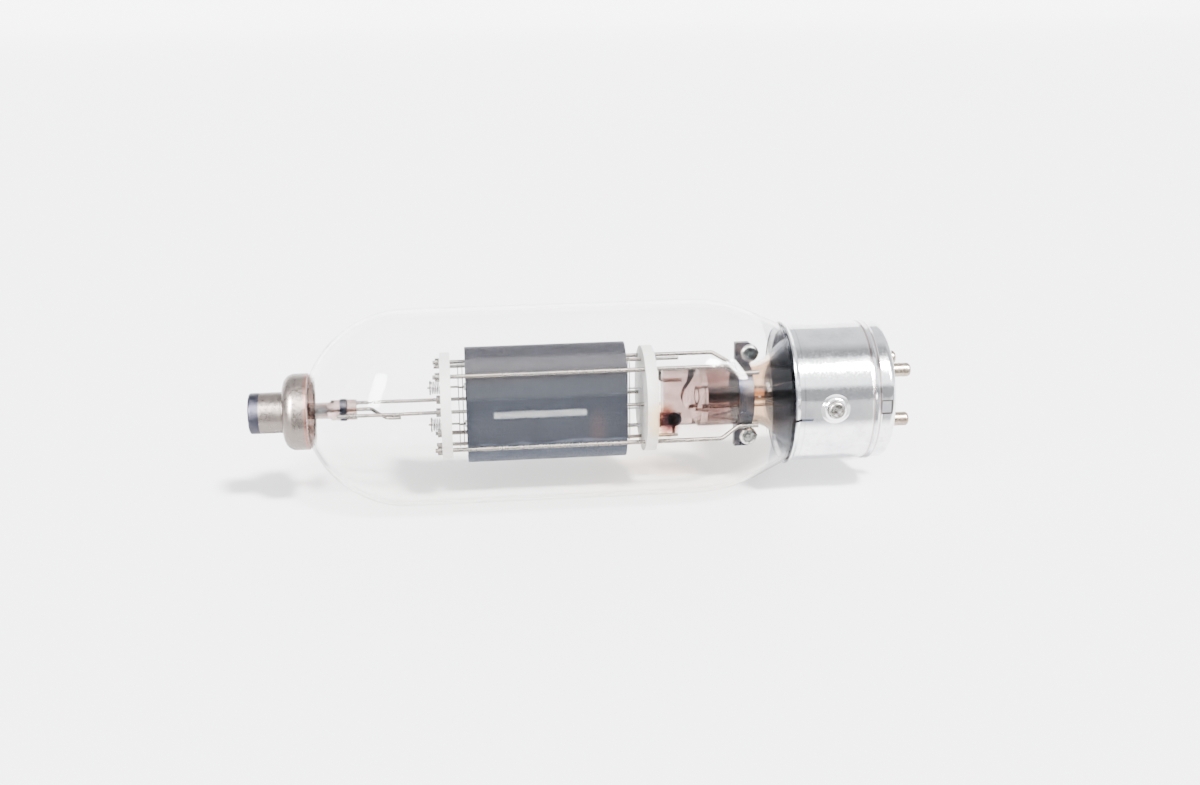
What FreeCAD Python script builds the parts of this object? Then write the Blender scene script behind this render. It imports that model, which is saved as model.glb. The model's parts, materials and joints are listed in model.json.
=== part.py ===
"""Large transmitting triode lying on its side, as separate pieces.

The tube's axis runs along X, with the plate cap at -X and the base pins at +X. Z is up. The tube
lies on its straight glass wall, so the axis is one bulb radius above the origin. Every piece is drawn
about its own X axis and lifted to the tube's axis by its Placement. Lengths are in millimetres.
"""
import FreeCAD, Part
import math
import os
import Sketcher

# name: (value, what it is). Names that end in _x are stations along the tube's axis.
DIMENSIONS = {
    # glass bulb
    "bulb_radius": (33.4, "outside radius of the straight wall"),
    "glass_wall": (1.3, "wall thickness of the bulb"),
    "dome_start_x": (-59.3, "where the straight wall turns into the dome"),
    "dome_arc": (35.6, "radius of the dome's arc"),
    "top_neck_radius": (11.2, "outside radius of the neck under the cap"),
    "top_neck_x": (-97.0, "end face of the top neck"),
    "seal_bore": (4.0, "radius of the hole that the top seal closes"),
    "shoulder_start_x": (37.0, "where the straight wall turns into the shoulder"),
    "shoulder_arc": (52.0, "radius of the shoulder's arc"),
    "shoulder_end_x": (58.0, "where the arc runs out into a cone"),
    "mouth_x": (67.8, "where the cone meets the base rim"),
    "mouth_radius": (24.3, "glass radius at the base rim"),
    "neck_start_x": (71.0, "start of the neck inside the base"),
    "neck_radius": (22.2, "outside radius of the neck inside the base"),
    "neck_end_x": (80.0, "sealed end of the neck"),
    # cap
    "cap_end_x": (-112.0, "end of the plate cap"),
    "cap_radius": (6.9, "outside radius of the plate cap"),
    "cap_wall": (0.6, "sheet thickness of cap and skirt"),
    "cap_edge": (0.8, "rounding of the cap's end"),
    "cap_solder_x": (-108.5, "inner edge of the tinned end band"),
    "solder_film": (0.13, "thickness of the tinning"),
    "cap_flange_radius": (8.4, "flange of the cap inside the skirt"),
    "skirt_face_x": (-100.6, "flat face of the skirt"),
    "skirt_radius": (12.9, "outside radius of the skirt"),
    "skirt_corner": (4.0, "rounding between the skirt's face and wall"),
    "skirt_rim_x": (-92.3, "open rim of the skirt"),
    "cement_start_x": (-96.5, "inner edge of the cement under the skirt"),
    "cement_lip_x": (-91.95, "edge of the cement that shows past the rim"),
    # top seal
    "seal_wire_radius": (0.62, "cap lead and anode lead"),
    "seal_tube_radius": (2.8, "glass tube of the top seal"),
    "seal_tube_bore": (1.9, "bore of the top seal's tube"),
    "seal_press_x": (-85.0, "where the seal's tube becomes the press"),
    "seal_end_x": (-76.4, "inner end of the press"),
    "seal_press_height": (7.0, "height of the flattened press"),
    "seal_press_depth": (4.4, "thickness of the flattened press"),
    "sleeve_radius": (1.25, "dark sleeve on the cap lead"),
    "sleeve_start_x": (-94.5, "outer end of the sleeve"),
    "sleeve_end_x": (-86.4, "inner end of the sleeve"),
    "lead_joint_x": (-80.0, "weld of cap lead and anode lead in the press"),
    "lead_bend_x": (-71.7, "where the anode lead turns to the rod"),
    "lead_weld_x": (-66.2, "where the anode lead reaches the rod"),
    "lead_tail_x": (-61.5, "end of the anode lead"),
    # anode
    "anode_start_x": (-39.7, "upper end of the anode"),
    "anode_length": (54.0, "length of the anode"),
    "anode_height": (40.0, "section of the anode along Z"),
    "anode_depth": (18.5, "section of the anode along Y"),
    "anode_wall": (2.5, "graphite wall"),
    "anode_rod_radius": (0.62, "support rods of the anode"),
    "anode_rod_offset": (8.0, "rod centre from the axis along Y"),
    "anode_rod_start_x": (-82.6, "upper end of the anode rods"),
    "anode_rod_end_x": (25.6, "lower end of the anode rods"),
    "band_x": (-82.0, "start of the band round the press"),
    "band_width": (2.2, "width of the band along X"),
    "band_sheet": (0.35, "sheet thickness of the band"),
    # ceramics
    "upper_ceramic_x": (-48.2, "upper face of the upper ceramic"),
    "upper_ceramic_thickness": (3.4, "thickness of the upper ceramic"),
    "lower_ceramic_x": (20.2, "upper face of the lower ceramic"),
    "lower_ceramic_thickness": (3.8, "thickness of the lower ceramic"),
    "ceramic_radius": (18.1, "radius of both ceramics"),
    "strap_sheet": (0.6, "sheet thickness of the strap on the lower ceramic"),
    "strap_height": (33.0, "strap along Z"),
    "strap_depth": (12.0, "strap along Y"),
    # support rods
    "rod_radius": (0.72, "support rods"),
    "rod_height": (12.7, "rod centre from the axis along Z"),
    "rod_depth": (10.0, "rod centre from the axis along Y"),
    "rod_start_x": (-50.6, "upper end of the support rods"),
    "rod_bend_x": (46.5, "where the rods turn towards the collar"),
    "rod_weld_x": (52.6, "where the rods reach the collar"),
    "rod_end_x": (59.6, "lower end of the support rods"),
    "ferrule_radius": (1.5, "ferrules that lock the rods"),
    "ferrule_length": (1.6, "length of a ferrule"),
    # grid
    "grid_rod_radius": (0.6, "side rods of the grid"),
    "grid_rod_height": (13.7, "side rod centre from the axis"),
    "grid_rod_start_x": (-50.2, "upper end of the side rods"),
    "grid_rod_end_x": (33.0, "lower end of the side rods"),
    "grid_wire": (0.3, "thickness of the grid wire"),
    "grid_pitch": (1.45, "spacing of the grid's turns"),
    "grid_turns": (41.0, "number of turns"),
    "grid_start_x": (-42.3, "first turn"),
    "grid_half_depth": (2.6, "inside half depth of the winding"),
    "grid_link_x": (31.5, "link from the lower side rod to the press"),
    # filament
    "filament_radius": (0.3, "filament wire"),
    "filament_height": (6.5, "hook centre from the axis"),
    "filament_spread": (3.25, "half distance between the legs at their lower end"),
    "filament_crown": (0.95, "half distance between the legs at the hook"),
    "filament_top_x": (-41.2, "crown of the filament"),
    "filament_foot_x": (25.5, "lower end of the legs"),
    "hook_radius": (0.35, "hook wire"),
    "hook_end_x": (-52.6, "outer end of the hook wire"),
    "spring_radius": (2.0, "mean radius of the tension springs"),
    "spring_wire": (0.22, "wire radius of the springs"),
    "spring_turns": (3.5, "turns of a spring"),
    "spring_length": (3.2, "length of a spring at rest"),
    "retainer_radius": (2.45, "cup washer that holds the spring"),
    "retainer_thickness": (0.5, "thickness of the cup washer"),
    "post_radius": (0.55, "posts that carry the filament's outer legs"),
    "post_height": (6.0, "post centre from the axis in the press"),
    "post_arm_x": (26.1, "arm of a post"),
    "post_root_x": (34.0, "embedded end of a post"),
    # stem
    "press_start_x": (27.4, "inner end of the press"),
    "press_height": (20.0, "press along Z"),
    "press_depth": (7.0, "press along Y"),
    "stem_cone_x": (34.0, "where the press widens into the tube"),
    "stem_tube_x": (39.5, "where the tube has its full radius"),
    "stem_floor_x": (42.0, "where the tube becomes hollow"),
    "stem_radius": (10.5, "outside radius of the stem tube"),
    "stem_wall": (1.4, "wall of the stem tube"),
    "flare_start_x": (58.0, "start of the flare"),
    "flare_arc": (10.0, "radius of the flare's arc"),
    "flare_turn_x": (65.2, "end of the flare's arc"),
    "flare_rim_x": (72.5, "where the flare meets the neck"),
    "exhaust_radius": (2.6, "outside radius of the exhaust tube"),
    "exhaust_wall": (0.8, "wall of the exhaust tube"),
    "exhaust_end_x": (90.0, "sealed tip of the exhaust tube"),
    # collar on the stem
    "collar_x": (52.5, "start of the collar"),
    "collar_width": (5.0, "width of the collar along X"),
    "collar_sheet": (0.6, "sheet thickness of the collar"),
    "collar_gap": (0.3, "half gap between the collar's halves"),
    "ear_sheet": (1.0, "sheet thickness of the ears"),
    "ear_top": (18.4, "top of an ear from the axis"),
    "ear_root": (10.9, "foot of an ear from the axis"),
    "screw_x": (57.3, "clamp screws along the axis"),
    "screw_height": (14.8, "clamp screws from the axis"),
    "screw_radius": (1.4, "shank of a clamp screw"),
    "screw_head_radius": (2.6, "head of a clamp screw"),
    "screw_head_length": (1.7, "height of a clamp screw's head"),
    "screw_reach": (4.4, "end of the shank beyond the axis plane"),
    "nut_flats": (5.0, "width of a nut across its flats"),
    "nut_thickness": (2.0, "thickness of a nut"),
    # getter
    "getter_x": (29.2, "centre of the getter cup"),
    "getter_radius": (2.3, "radius of the getter cup"),
    "getter_depth": (17.5, "open face of the cup from the axis"),
    "getter_thickness": (1.2, "depth of the getter cup"),
    "getter_wire_radius": (0.4, "support wire of the getter"),
    # base
    "shell_rim_x": (68.6, "open rim of the base shell"),
    "shell_radius": (23.6, "outside radius of the base shell"),
    "shell_rim_radius": (24.6, "radius of the flared rim"),
    "shell_wall": (0.8, "sheet thickness of the base shell"),
    "shell_end_x": (103.5, "end face of the base shell"),
    "shell_corner": (2.5, "rounding of the end"),
    "shell_lip_radius": (19.6, "hole in the end face"),
    "ridge_x": (96.75, "middle of the rolled groove"),
    "ridge_pitch": (0.85, "from the groove to each ridge"),
    "ridge_height": (0.4, "height of the ridges and depth of the groove"),
    "slit_width": (0.9, "slit in the rim"),
    "slit_end_x": (75.0, "inner end of the slit"),
    "slit_drop": (3.0, "slit below the middle"),
    "crimp_x": (99.9, "middle of the crimp"),
    "crimp_length": (3.6, "crimp along X"),
    "crimp_height": (4.4, "crimp along Z"),
    "crimp_depth": (0.35, "how deep the crimp goes into the wall"),
    "base_cement_x": (86.0, "end of the cement in the base"),
    "insulator_x": (99.9, "inner face of the insulator"),
    "insulator_end_x": (104.0, "outer face of the insulator"),
    "pin_radius": (2.375, "base pins"),
    "pin_circle": (24.7, "diameter of the pin circle"),
    "pin_end_x": (111.8, "end of a pin's barrel"),
    "pin_flange_radius": (3.2, "flange of a pin behind the insulator"),
    "pin_bore": (1.1, "bore of a pin"),
    "pin_edge": (1.2, "rounding of a pin's end"),
    "tube_end_x": (112.0, "end of the solder on the pins"),
    "bayonet_x": (82.4, "bayonet pin along the axis"),
    "bayonet_radius": (2.75, "outside radius of the bayonet pin"),
    "bayonet_reach": (26.0, "end of the bayonet pin from the axis"),
    "bayonet_recess": (2.0, "radius of the recess in its end"),
    # leads in the base
    "base_lead_radius": (0.5, "leads from the stem to the pins"),
    "base_lead_start_x": (40.2, "embedded end of a lead"),
    "base_lead_depth": (4.6, "lead centre from the axis in the stem"),
    "base_lead_turn_x": (66.0, "where a lead turns outwards"),
    "base_lead_pin_x": (88.0, "where a lead is in line with its pin"),
    "base_lead_end_x": (107.5, "end of a lead in its pin"),
    "seal_grip": (1.0, "half the length over which the top seal grips its wire"),
    "exhaust_tip_length": (4.0, "tapered tip of the exhaust tube"),
    "exhaust_tip_wall": (1.5, "glass at the tip of the exhaust tube"),
    "cap_root_radius": (6.6, "outside radius of the plate cap inside the skirt's face"),
    "cement_setback": (0.1, "cement behind the rim that it fills"),
    "lead_bend": (1.8, "bend radius of the anode lead"),
    "weld_gap": (0.1, "gap beside a weld"),
    "support_bend": (2.5, "bend radius of the support rods"),
    "filament_bend": (0.9, "bend radius of the filament wire"),
    "hook_rise": (1.4, "end of a hook past the crown of its filament"),
    "hook_throat": (0.7, "crossing of a hook past the crown of its filament"),
    "hook_gap": (0.2, "gap between a hook and its filament"),
    "hook_bend": (0.4, "bend radius of a hook"),
    "post_overhang": (1.0, "arm of a post past its outer filament leg"),
    "post_bend": (0.7, "bend radius of a post"),
    "bridge_overhang": (0.8, "bridge past the filament legs that it joins"),
    "small_edge": (0.4, "rounding of small turned pieces"),
    "slot_half_width": (0.35, "half the width of a screw's slot"),
    "getter_drop": (3.0, "getter below the axis"),
    "getter_foot_inset": (3.0, "foot of the getter wire in from the edge of the ceramic"),
    "getter_wire_bend": (0.8, "bend radius of the getter wire"),
    "rim_turn": (0.3, "length of the turn at the shell's rim"),
    "rim_flat": (0.8, "end of the flat of the shell's rim"),
    "rim_step": (2.0, "where the shell's rim runs out into its wall"),
    "rim_inner_start": (0.6, "start of the hollow behind the shell's rim"),
    "rim_inner_end": (1.6, "end of the hollow behind the shell's rim"),
    "cement_start": (0.5, "base cement behind the start of the neck"),
    "cement_length": (6.5, "length of the base cement from its end to its start"),
    "bayonet_recess_depth": (1.4, "depth of the recess in the bayonet pin"),
    "insulator_rim": (0.9, "thickness of the insulator's rim"),
    "pin_shank_radius": (2.15, "radius of a base pin inside the insulator"),
    "pin_flange_thickness": (0.8, "thickness of a base pin's flange"),
    "solder_gap": (0.2, "gap between a lead's end and the solder"),
    "base_lead_bend": (4.0, "bend radius of the leads in the base"),
    "snug": (0.02, "clearance of a close fit"),
    "slide_clearance": (0.12, "clearance of a hook in its hole"),
}

doc = FreeCAD.newDocument("transmitting_triode")
sheet = doc.addObject("Spreadsheet::Sheet", "Sizes")


class Size:
    """A dimension: its formula in the sheet's terms and its present value."""

    def __init__(self, formula, value):
        self.formula = formula
        self.value = value

    def __add__(self, other):
        other = as_size(other)
        return Size(f"({self.formula} + {other.formula})", self.value + other.value)

    def __sub__(self, other):
        other = as_size(other)
        return Size(f"({self.formula} - {other.formula})", self.value - other.value)

    def __mul__(self, other):
        other = as_size(other)
        return Size(f"({self.formula} * {other.formula})", self.value * other.value)

    def __truediv__(self, other):
        other = as_size(other)
        return Size(f"({self.formula} / {other.formula})", self.value / other.value)

    def __neg__(self):
        return Size(f"(0 - {self.formula})", -self.value)


def as_size(number):
    """Return a Size for a plain number; a Size is returned as it is."""
    if isinstance(number, Size):
        return number
    return Size(f"{float(number):.6f}", float(number))


def root(size):
    """Return the square root of a Size."""
    return Size(f"sqrt({size.formula})", math.sqrt(size.value))


def leg(long_side, short_side):
    """Return the third side of a right-angled triangle, from its longest side and one other."""
    return root(long_side * long_side - short_side * short_side)


class SheetSizes:
    """Every dimension of the sheet as an attribute."""

    def __init__(self, dimensions):
        for row, (name, (value, meaning)) in enumerate(dimensions.items(), start=1):
            sheet.set(f"A{row}", name)
            sheet.set(f"B{row}", str(value))
            sheet.set(f"C{row}", meaning)
            sheet.setAlias(f"B{row}", name)
            setattr(self, name, Size(f"Sizes.{name}", value))


s = SheetSizes(DIMENSIONS)
doc.recompute()
ZERO = as_size(0.0)
sub_parts = []


# ---------------------------------------------------------------- drawing helpers

def bind(target, path, size):
    """Set a property path of an object to a size, by expression."""
    target.setExpression(path, as_size(size).formula)


def new_body(label):
    """Start a body whose axis lies on the tube's axis."""
    body = doc.addObject("PartDesign::Body", label)
    body.Label = label
    bind(body, "Placement.Base.z", s.bulb_radius)
    sub_parts.append(body)
    return body


def place(body, y=ZERO, z=ZERO, x=ZERO, turn_about=None, degrees=0.0):
    """Move a finished body off the tube's axis, and turn it about one of its own axes first."""
    if turn_about is not None:
        rotation = FreeCAD.Rotation(FreeCAD.Vector(*turn_about), degrees)
        body.Placement = FreeCAD.Placement(FreeCAD.Vector(0, 0, 0), rotation)
    bind(body, "Placement.Base.x", x)
    bind(body, "Placement.Base.y", y)
    bind(body, "Placement.Base.z", s.bulb_radius + z)


def new_sketch(body, role, offset=None):
    """Attach a sketch to one of the body's own planes, at an offset along the plane's normal."""
    sketch = body.newObject("Sketcher::SketchObject", f"{body.Label}_sketch")
    plane = next(item for item in body.Origin.OriginFeatures if item.Role == role)
    sketch.AttachmentSupport = [(plane, "")]
    sketch.MapMode = "FlatFace"
    if offset is not None:
        bind(sketch, "AttachmentOffset.Base.z", offset)
    return sketch


def pin_point(sketch, edge, end, x, y):
    """Hold one end of an edge at a place given by two sizes."""
    for kind, axis, size in (("DistanceX", -2, as_size(x)), ("DistanceY", -1, as_size(y))):
        if abs(size.value) < 1e-9:
            sketch.addConstraint(Sketcher.Constraint("PointOnObject", edge, end, axis))
            continue
        held = Sketcher.Constraint(kind, -1, 1, edge, end, size.value)
        number = sketch.addConstraint(held)
        bind(sketch, f"Constraints[{number}]", size)


def arc_between(start, end, radius, side):
    """Return the shorter arc from start to end; side is 1 where it turns left and -1 where right."""
    chord = end - start
    middle = (start + end) * 0.5
    height = math.sqrt(max(radius ** 2 - (chord.Length / 2) ** 2, 0.0))
    across = FreeCAD.Vector(-chord.y, chord.x, 0).normalize()
    centre = middle + across * (height * side)
    first, last = (start, end) if side > 0 else (end, start)
    angles = [math.atan2(point.y - centre.y, point.x - centre.x) for point in (first, last)]
    return Part.ArcOfCircle(Part.Circle(centre, FreeCAD.Vector(0, 0, 1), radius), *angles)


def is_half_circle(corner, following):
    """Tell whether the arc between two corners at the same height is half a circle."""
    return abs(abs(following[0].value - corner[0].value) - 2 * corner[2].value) < 1e-6


def draw_outline(sketch, corners, closed=True):
    """Draw an outline through corners.

    A corner is (x, y). It is (x, y, radius, side) where the edge that leaves it is an arc, with
    side 1 for an arc that turns left on the way and -1 for one that turns right.
    """
    corners = [tuple(as_size(value) for value in corner[:3]) + tuple(corner[3:]) for corner in corners]
    edge_count = len(corners) if closed else len(corners) - 1
    base = sketch.GeometryCount
    ends = []
    for index in range(edge_count):
        corner = corners[index]
        following = corners[(index + 1) % len(corners)]
        start = FreeCAD.Vector(corner[0].value, corner[1].value, 0)
        end = FreeCAD.Vector(following[0].value, following[1].value, 0)
        is_arc = len(corner) == 4
        if is_arc:
            sketch.addGeometry(arc_between(start, end, corner[2].value, corner[3]))
        else:
            sketch.addGeometry(Part.LineSegment(start, end))
        ends.append((2, 1) if is_arc and corner[3] < 0 else (1, 2))
    for index in range(edge_count):
        following = index + 1
        if following == edge_count and not closed:
            continue
        following = following % edge_count
        joined = (base + index, ends[index][1], base + following, ends[following][0])
        sketch.addConstraint(Sketcher.Constraint("Coincident", *joined))
    for index in range(edge_count):
        corner = corners[index]
        pin_point(sketch, base + index, ends[index][0], corner[0], corner[1])
        following = corners[(index + 1) % len(corners)]
        if len(corner) == 4 and is_half_circle(corner, following):
            middle = Sketcher.Constraint("DistanceY", -1, 1, base + index, 3, corner[1].value)
            number = sketch.addConstraint(middle)
            bind(sketch, f"Constraints[{number}]", corner[1])
        elif len(corner) == 4:
            number = sketch.addConstraint(Sketcher.Constraint("Radius", base + index, corner[2].value))
            bind(sketch, f"Constraints[{number}]", corner[2])
    if not closed:
        last = corners[-1]
        pin_point(sketch, base + edge_count - 1, ends[-1][1], last[0], last[1])


def draw_circle(sketch, x, y, radius):
    """Draw a circle at a place given by two sizes."""
    x, y, radius = as_size(x), as_size(y), as_size(radius)
    centre = FreeCAD.Vector(x.value, y.value, 0)
    edge = sketch.addGeometry(Part.Circle(centre, FreeCAD.Vector(0, 0, 1), radius.value))
    pin_point(sketch, edge, 3, x, y)
    number = sketch.addConstraint(Sketcher.Constraint("Radius", edge, radius.value))
    bind(sketch, f"Constraints[{number}]", radius)


def stadium(half_height, half_depth):
    """Return the outline of a flat oval: straight sides along Z, joined by half circles."""
    straight = half_height - half_depth
    return [
        (half_depth, -straight),
        (half_depth, straight, half_depth, 1),
        (-half_depth, straight),
        (-half_depth, -straight, half_depth, 1),
    ]


def rectangle(x_low, x_high, y_low, y_high):
    """Return the outline of an upright rectangle."""
    return [(x_low, y_low), (x_high, y_low), (x_high, y_high), (x_low, y_high)]


# ---------------------------------------------------------------- shaping helpers

def turn(body, corners):
    """Add a solid of revolution about the X axis, from its outline (station, radius)."""
    sketch = new_sketch(body, "XY_Plane")
    draw_outline(sketch, corners)
    revolution = body.newObject("PartDesign::Revolution", f"{body.Label}_turned")
    revolution.Profile = sketch
    revolution.ReferenceAxis = (sketch, ["H_Axis"])
    revolution.Angle = 360
    doc.recompute()
    return revolution


def turned(label, corners):
    """Return a body made by turning one outline."""
    body = new_body(label)
    turn(body, corners)
    return body


def pad(body, role, offset, length, outlines=(), circles=()):
    """Add material from outlines and circles on one of the body's planes."""
    sketch = new_sketch(body, role, offset)
    for corners in outlines:
        draw_outline(sketch, corners)
    for circle in circles:
        draw_circle(sketch, *circle)
    feature = body.newObject("PartDesign::Pad", f"{body.Label}_pad")
    feature.Profile = sketch
    bind(feature, "Length", length)
    doc.recompute()
    return feature


def pocket(body, role, offset, length, outlines=(), circles=()):
    """Cut outlines and circles against the plane's normal, and make sure that something went."""
    before = body.Shape.Volume
    sketch = new_sketch(body, role, offset)
    for corners in outlines:
        draw_outline(sketch, corners)
    for circle in circles:
        draw_circle(sketch, *circle)
    feature = body.newObject("PartDesign::Pocket", f"{body.Label}_pocket")
    feature.Profile = sketch
    bind(feature, "Length", length)
    doc.recompute()
    if not body.Shape.Volume < before:
        raise RuntimeError(f"a pocket in {body.Label} cut nothing")
    return feature


def plate(label, start, thickness, outline=None, disc_radius=None, holes=()):
    """Return a plate square to the tube's axis, with round holes (y, z, radius) right through."""
    body = new_body(label)
    outlines = [outline] if outline else []
    circles = [(ZERO, ZERO, disc_radius)] if disc_radius else []
    pad(body, "YZ_Plane", start, thickness, outlines, circles)
    if holes:
        pocket(body, "YZ_Plane", start + thickness, thickness, circles=holes)
    return body


def wire(label, path, radius, bend=0.0, degrees=0.0):
    """Return a round wire along a path (station, distance from the axis), in a plane at some roll.

    The path starts along X. Every corner of it gets the bend radius.
    """
    body = new_body(label)
    spine = new_sketch(body, "XY_Plane")
    draw_outline(spine, path, closed=False)
    for corner in range(len(path) - 2):
        spine.fillet(corner, 2, bend, True, True)
    doc.recompute()
    start_x, start_y = path[0][0], path[0][1]
    section = new_sketch(body, "YZ_Plane", start_x)
    draw_circle(section, start_y, ZERO, radius)
    doc.recompute()
    pipe = body.newObject("PartDesign::AdditivePipe", f"{body.Label}_pipe")
    pipe.Profile = section
    pipe.Spine = (spine, [f"Edge{number + 1}" for number in range(len(spine.Shape.Edges))])
    doc.recompute()
    place(body, turn_about=(1, 0, 0), degrees=degrees)
    return body


def group_along_axis(label, corners, places):
    """Return one node of equal turned solids, one at each (y, z)."""
    copies = []
    for number, (y, z) in enumerate(places, start=1):
        body = doc.addObject("PartDesign::Body", f"{label}_piece_{number}")
        turn(body, corners)
        bind(body, "Placement.Base.y", y)
        bind(body, "Placement.Base.z", s.bulb_radius + z)
        copies.append(body)
    group = doc.addObject("Part::Compound", label)
    group.Label = label
    group.Links = copies
    sub_parts.append(group)
    return group


# ---------------------------------------------------------------- glass

def make_glass_envelope():
    """Bulb: neck under the cap, dome, straight wall, shoulder and the neck in the base."""
    wall = s.glass_wall
    dome_centre = s.bulb_radius - s.dome_arc
    shoulder_centre = s.bulb_radius - s.shoulder_arc
    shoulder_run = s.shoulder_end_x - s.shoulder_start_x
    inner_neck = s.top_neck_radius - wall
    dome_x = s.dome_start_x - leg(s.dome_arc, s.top_neck_radius - dome_centre)
    inner_dome_x = s.dome_start_x - leg(s.dome_arc - wall, inner_neck - dome_centre)
    shoulder_radius = shoulder_centre + leg(s.shoulder_arc, shoulder_run)
    inner_shoulder_radius = shoulder_centre + leg(s.shoulder_arc - wall, shoulder_run)
    turned("glass_envelope", [
        (s.top_neck_x, s.seal_bore),
        (s.top_neck_x, s.top_neck_radius),
        (dome_x, s.top_neck_radius, s.dome_arc, -1),
        (s.dome_start_x, s.bulb_radius),
        (s.shoulder_start_x, s.bulb_radius, s.shoulder_arc, -1),
        (s.shoulder_end_x, shoulder_radius),
        (s.mouth_x, s.mouth_radius),
        (s.neck_start_x, s.neck_radius),
        (s.neck_end_x, s.neck_radius),
        (s.neck_end_x, s.neck_radius - wall),
        (s.neck_start_x, s.neck_radius - wall),
        (s.mouth_x - wall / 2, s.mouth_radius - wall),
        (s.shoulder_end_x, inner_shoulder_radius, s.shoulder_arc - wall, 1),
        (s.shoulder_start_x, s.bulb_radius - wall),
        (s.dome_start_x, s.bulb_radius - wall, s.dome_arc - wall, 1),
        (inner_dome_x, inner_neck),
        (s.top_neck_x + wall, inner_neck),
        (s.top_neck_x + wall, s.seal_bore),
    ])


def make_top_seal():
    """Glass tube and flattened press that bring the cap lead into the bulb."""
    body = turned("top_seal", [
        (s.top_neck_x, s.seal_tube_bore),
        (s.top_neck_x, s.seal_bore - s.snug),
        (s.top_neck_x + s.glass_wall, s.seal_bore - s.snug),
        (s.top_neck_x + s.glass_wall * 2, s.seal_tube_radius),
        (s.seal_press_x + s.seal_grip, s.seal_tube_radius),
        (s.seal_press_x + s.seal_grip, s.seal_wire_radius + s.snug),
        (s.seal_press_x - s.seal_grip, s.seal_wire_radius + s.snug),
        (s.seal_press_x - s.seal_grip, s.seal_tube_bore),
    ])
    half_height = s.seal_press_height / 2
    half_depth = s.seal_press_depth / 2
    press_length = s.seal_end_x - s.seal_press_x
    bore = (ZERO, ZERO, s.seal_wire_radius + s.snug)
    pad(body, "YZ_Plane", s.seal_press_x, press_length, [stadium(half_height, half_depth)], [bore])


def make_stem_glass():
    """Stem: flattened press, tube and the flare that is sealed into the neck."""
    flare_centre = s.stem_radius + s.flare_arc
    flare_run = s.flare_turn_x - s.flare_start_x
    flare_radius = flare_centre - leg(s.flare_arc, flare_run)
    inner_arc = s.flare_arc + s.stem_wall
    inner_flare_radius = flare_centre - leg(inner_arc, flare_run)
    inner_tube = s.stem_radius - s.stem_wall
    rim_radius = s.neck_radius - s.glass_wall - s.snug
    body = turned("stem_glass", [
        (s.stem_cone_x, ZERO),
        (s.stem_cone_x, s.press_depth / 2),
        (s.stem_tube_x, s.stem_radius),
        (s.flare_start_x, s.stem_radius, s.flare_arc, 1),
        (s.flare_turn_x, flare_radius),
        (s.flare_rim_x, rim_radius),
        (s.neck_end_x, rim_radius),
        (s.neck_end_x, rim_radius - s.stem_wall),
        (s.flare_rim_x + s.stem_wall, rim_radius - s.stem_wall),
        (s.flare_turn_x, inner_flare_radius, inner_arc, -1),
        (s.flare_start_x, inner_tube),
        (s.stem_floor_x, inner_tube),
        (s.stem_floor_x, ZERO),
    ])
    press = stadium(s.press_height / 2, s.press_depth / 2)
    pad(body, "YZ_Plane", s.press_start_x, s.stem_tube_x - s.press_start_x, [press])
    post_bores = [(ZERO, s.post_height * side, s.post_radius + s.snug) for side in (1, -1)]
    pocket(body, "YZ_Plane", s.post_root_x, s.post_root_x - s.press_start_x, circles=post_bores)
    lead_bores = [(y, z, s.base_lead_radius + s.snug) for y, z in base_lead_places()]
    pocket(body, "YZ_Plane", s.stem_floor_x, s.stem_floor_x - s.base_lead_start_x, circles=lead_bores)


def make_exhaust_tube():
    """Exhaust tube inside the stem, with its tip sealed off."""
    bore = s.exhaust_radius - s.exhaust_wall
    turned("exhaust_tube", [
        (s.stem_floor_x, bore),
        (s.stem_floor_x, s.exhaust_radius),
        (s.exhaust_end_x - s.exhaust_tip_length, s.exhaust_radius),
        (s.exhaust_end_x, s.exhaust_wall),
        (s.exhaust_end_x, ZERO),
        (s.exhaust_end_x - s.exhaust_tip_wall, ZERO),
        (s.exhaust_end_x - s.exhaust_tip_length, bore),
    ])


# ---------------------------------------------------------------- plate cap

def make_plate_cap():
    """Cap that takes the plate connector, with the flange that holds the skirt."""
    inner = s.cap_radius - s.cap_wall
    tinned = s.cap_radius - s.solder_film - s.snug
    edge = s.cap_edge - s.solder_film - s.snug
    face_x = s.cap_end_x + s.solder_film + s.snug
    flange_x = s.skirt_face_x + s.cap_wall + s.snug
    turned("plate_cap", [
        (face_x, s.seal_wire_radius + s.snug),
        (face_x, tinned - edge, edge, -1),
        (face_x + edge, tinned),
        (s.cap_solder_x, tinned),
        (s.cap_solder_x, s.cap_radius),
        (s.skirt_face_x - s.snug, s.cap_radius),
        (s.skirt_face_x - s.snug, s.cap_root_radius),
        (flange_x, s.cap_root_radius),
        (flange_x, s.cap_flange_radius),
        (flange_x + s.cap_wall, s.cap_flange_radius),
        (flange_x + s.cap_wall, inner),
        (face_x + s.cap_wall, inner),
        (face_x + s.cap_wall, s.seal_wire_radius + s.snug),
    ])


def make_cap_solder():
    """Tinning over the end of the cap, which also holds the cap lead."""
    inner = s.cap_radius - s.solder_film
    edge = s.cap_edge - s.solder_film
    turned("cap_solder", [
        (s.cap_end_x, ZERO),
        (s.cap_end_x, s.cap_radius - s.cap_edge, s.cap_edge, -1),
        (s.cap_end_x + s.cap_edge, s.cap_radius),
        (s.cap_solder_x - s.snug, s.cap_radius),
        (s.cap_solder_x - s.snug, inner),
        (s.cap_end_x + s.cap_edge, inner, edge, 1),
        (s.cap_end_x + s.solder_film, inner - edge),
        (s.cap_end_x + s.solder_film, ZERO),
    ])


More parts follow.
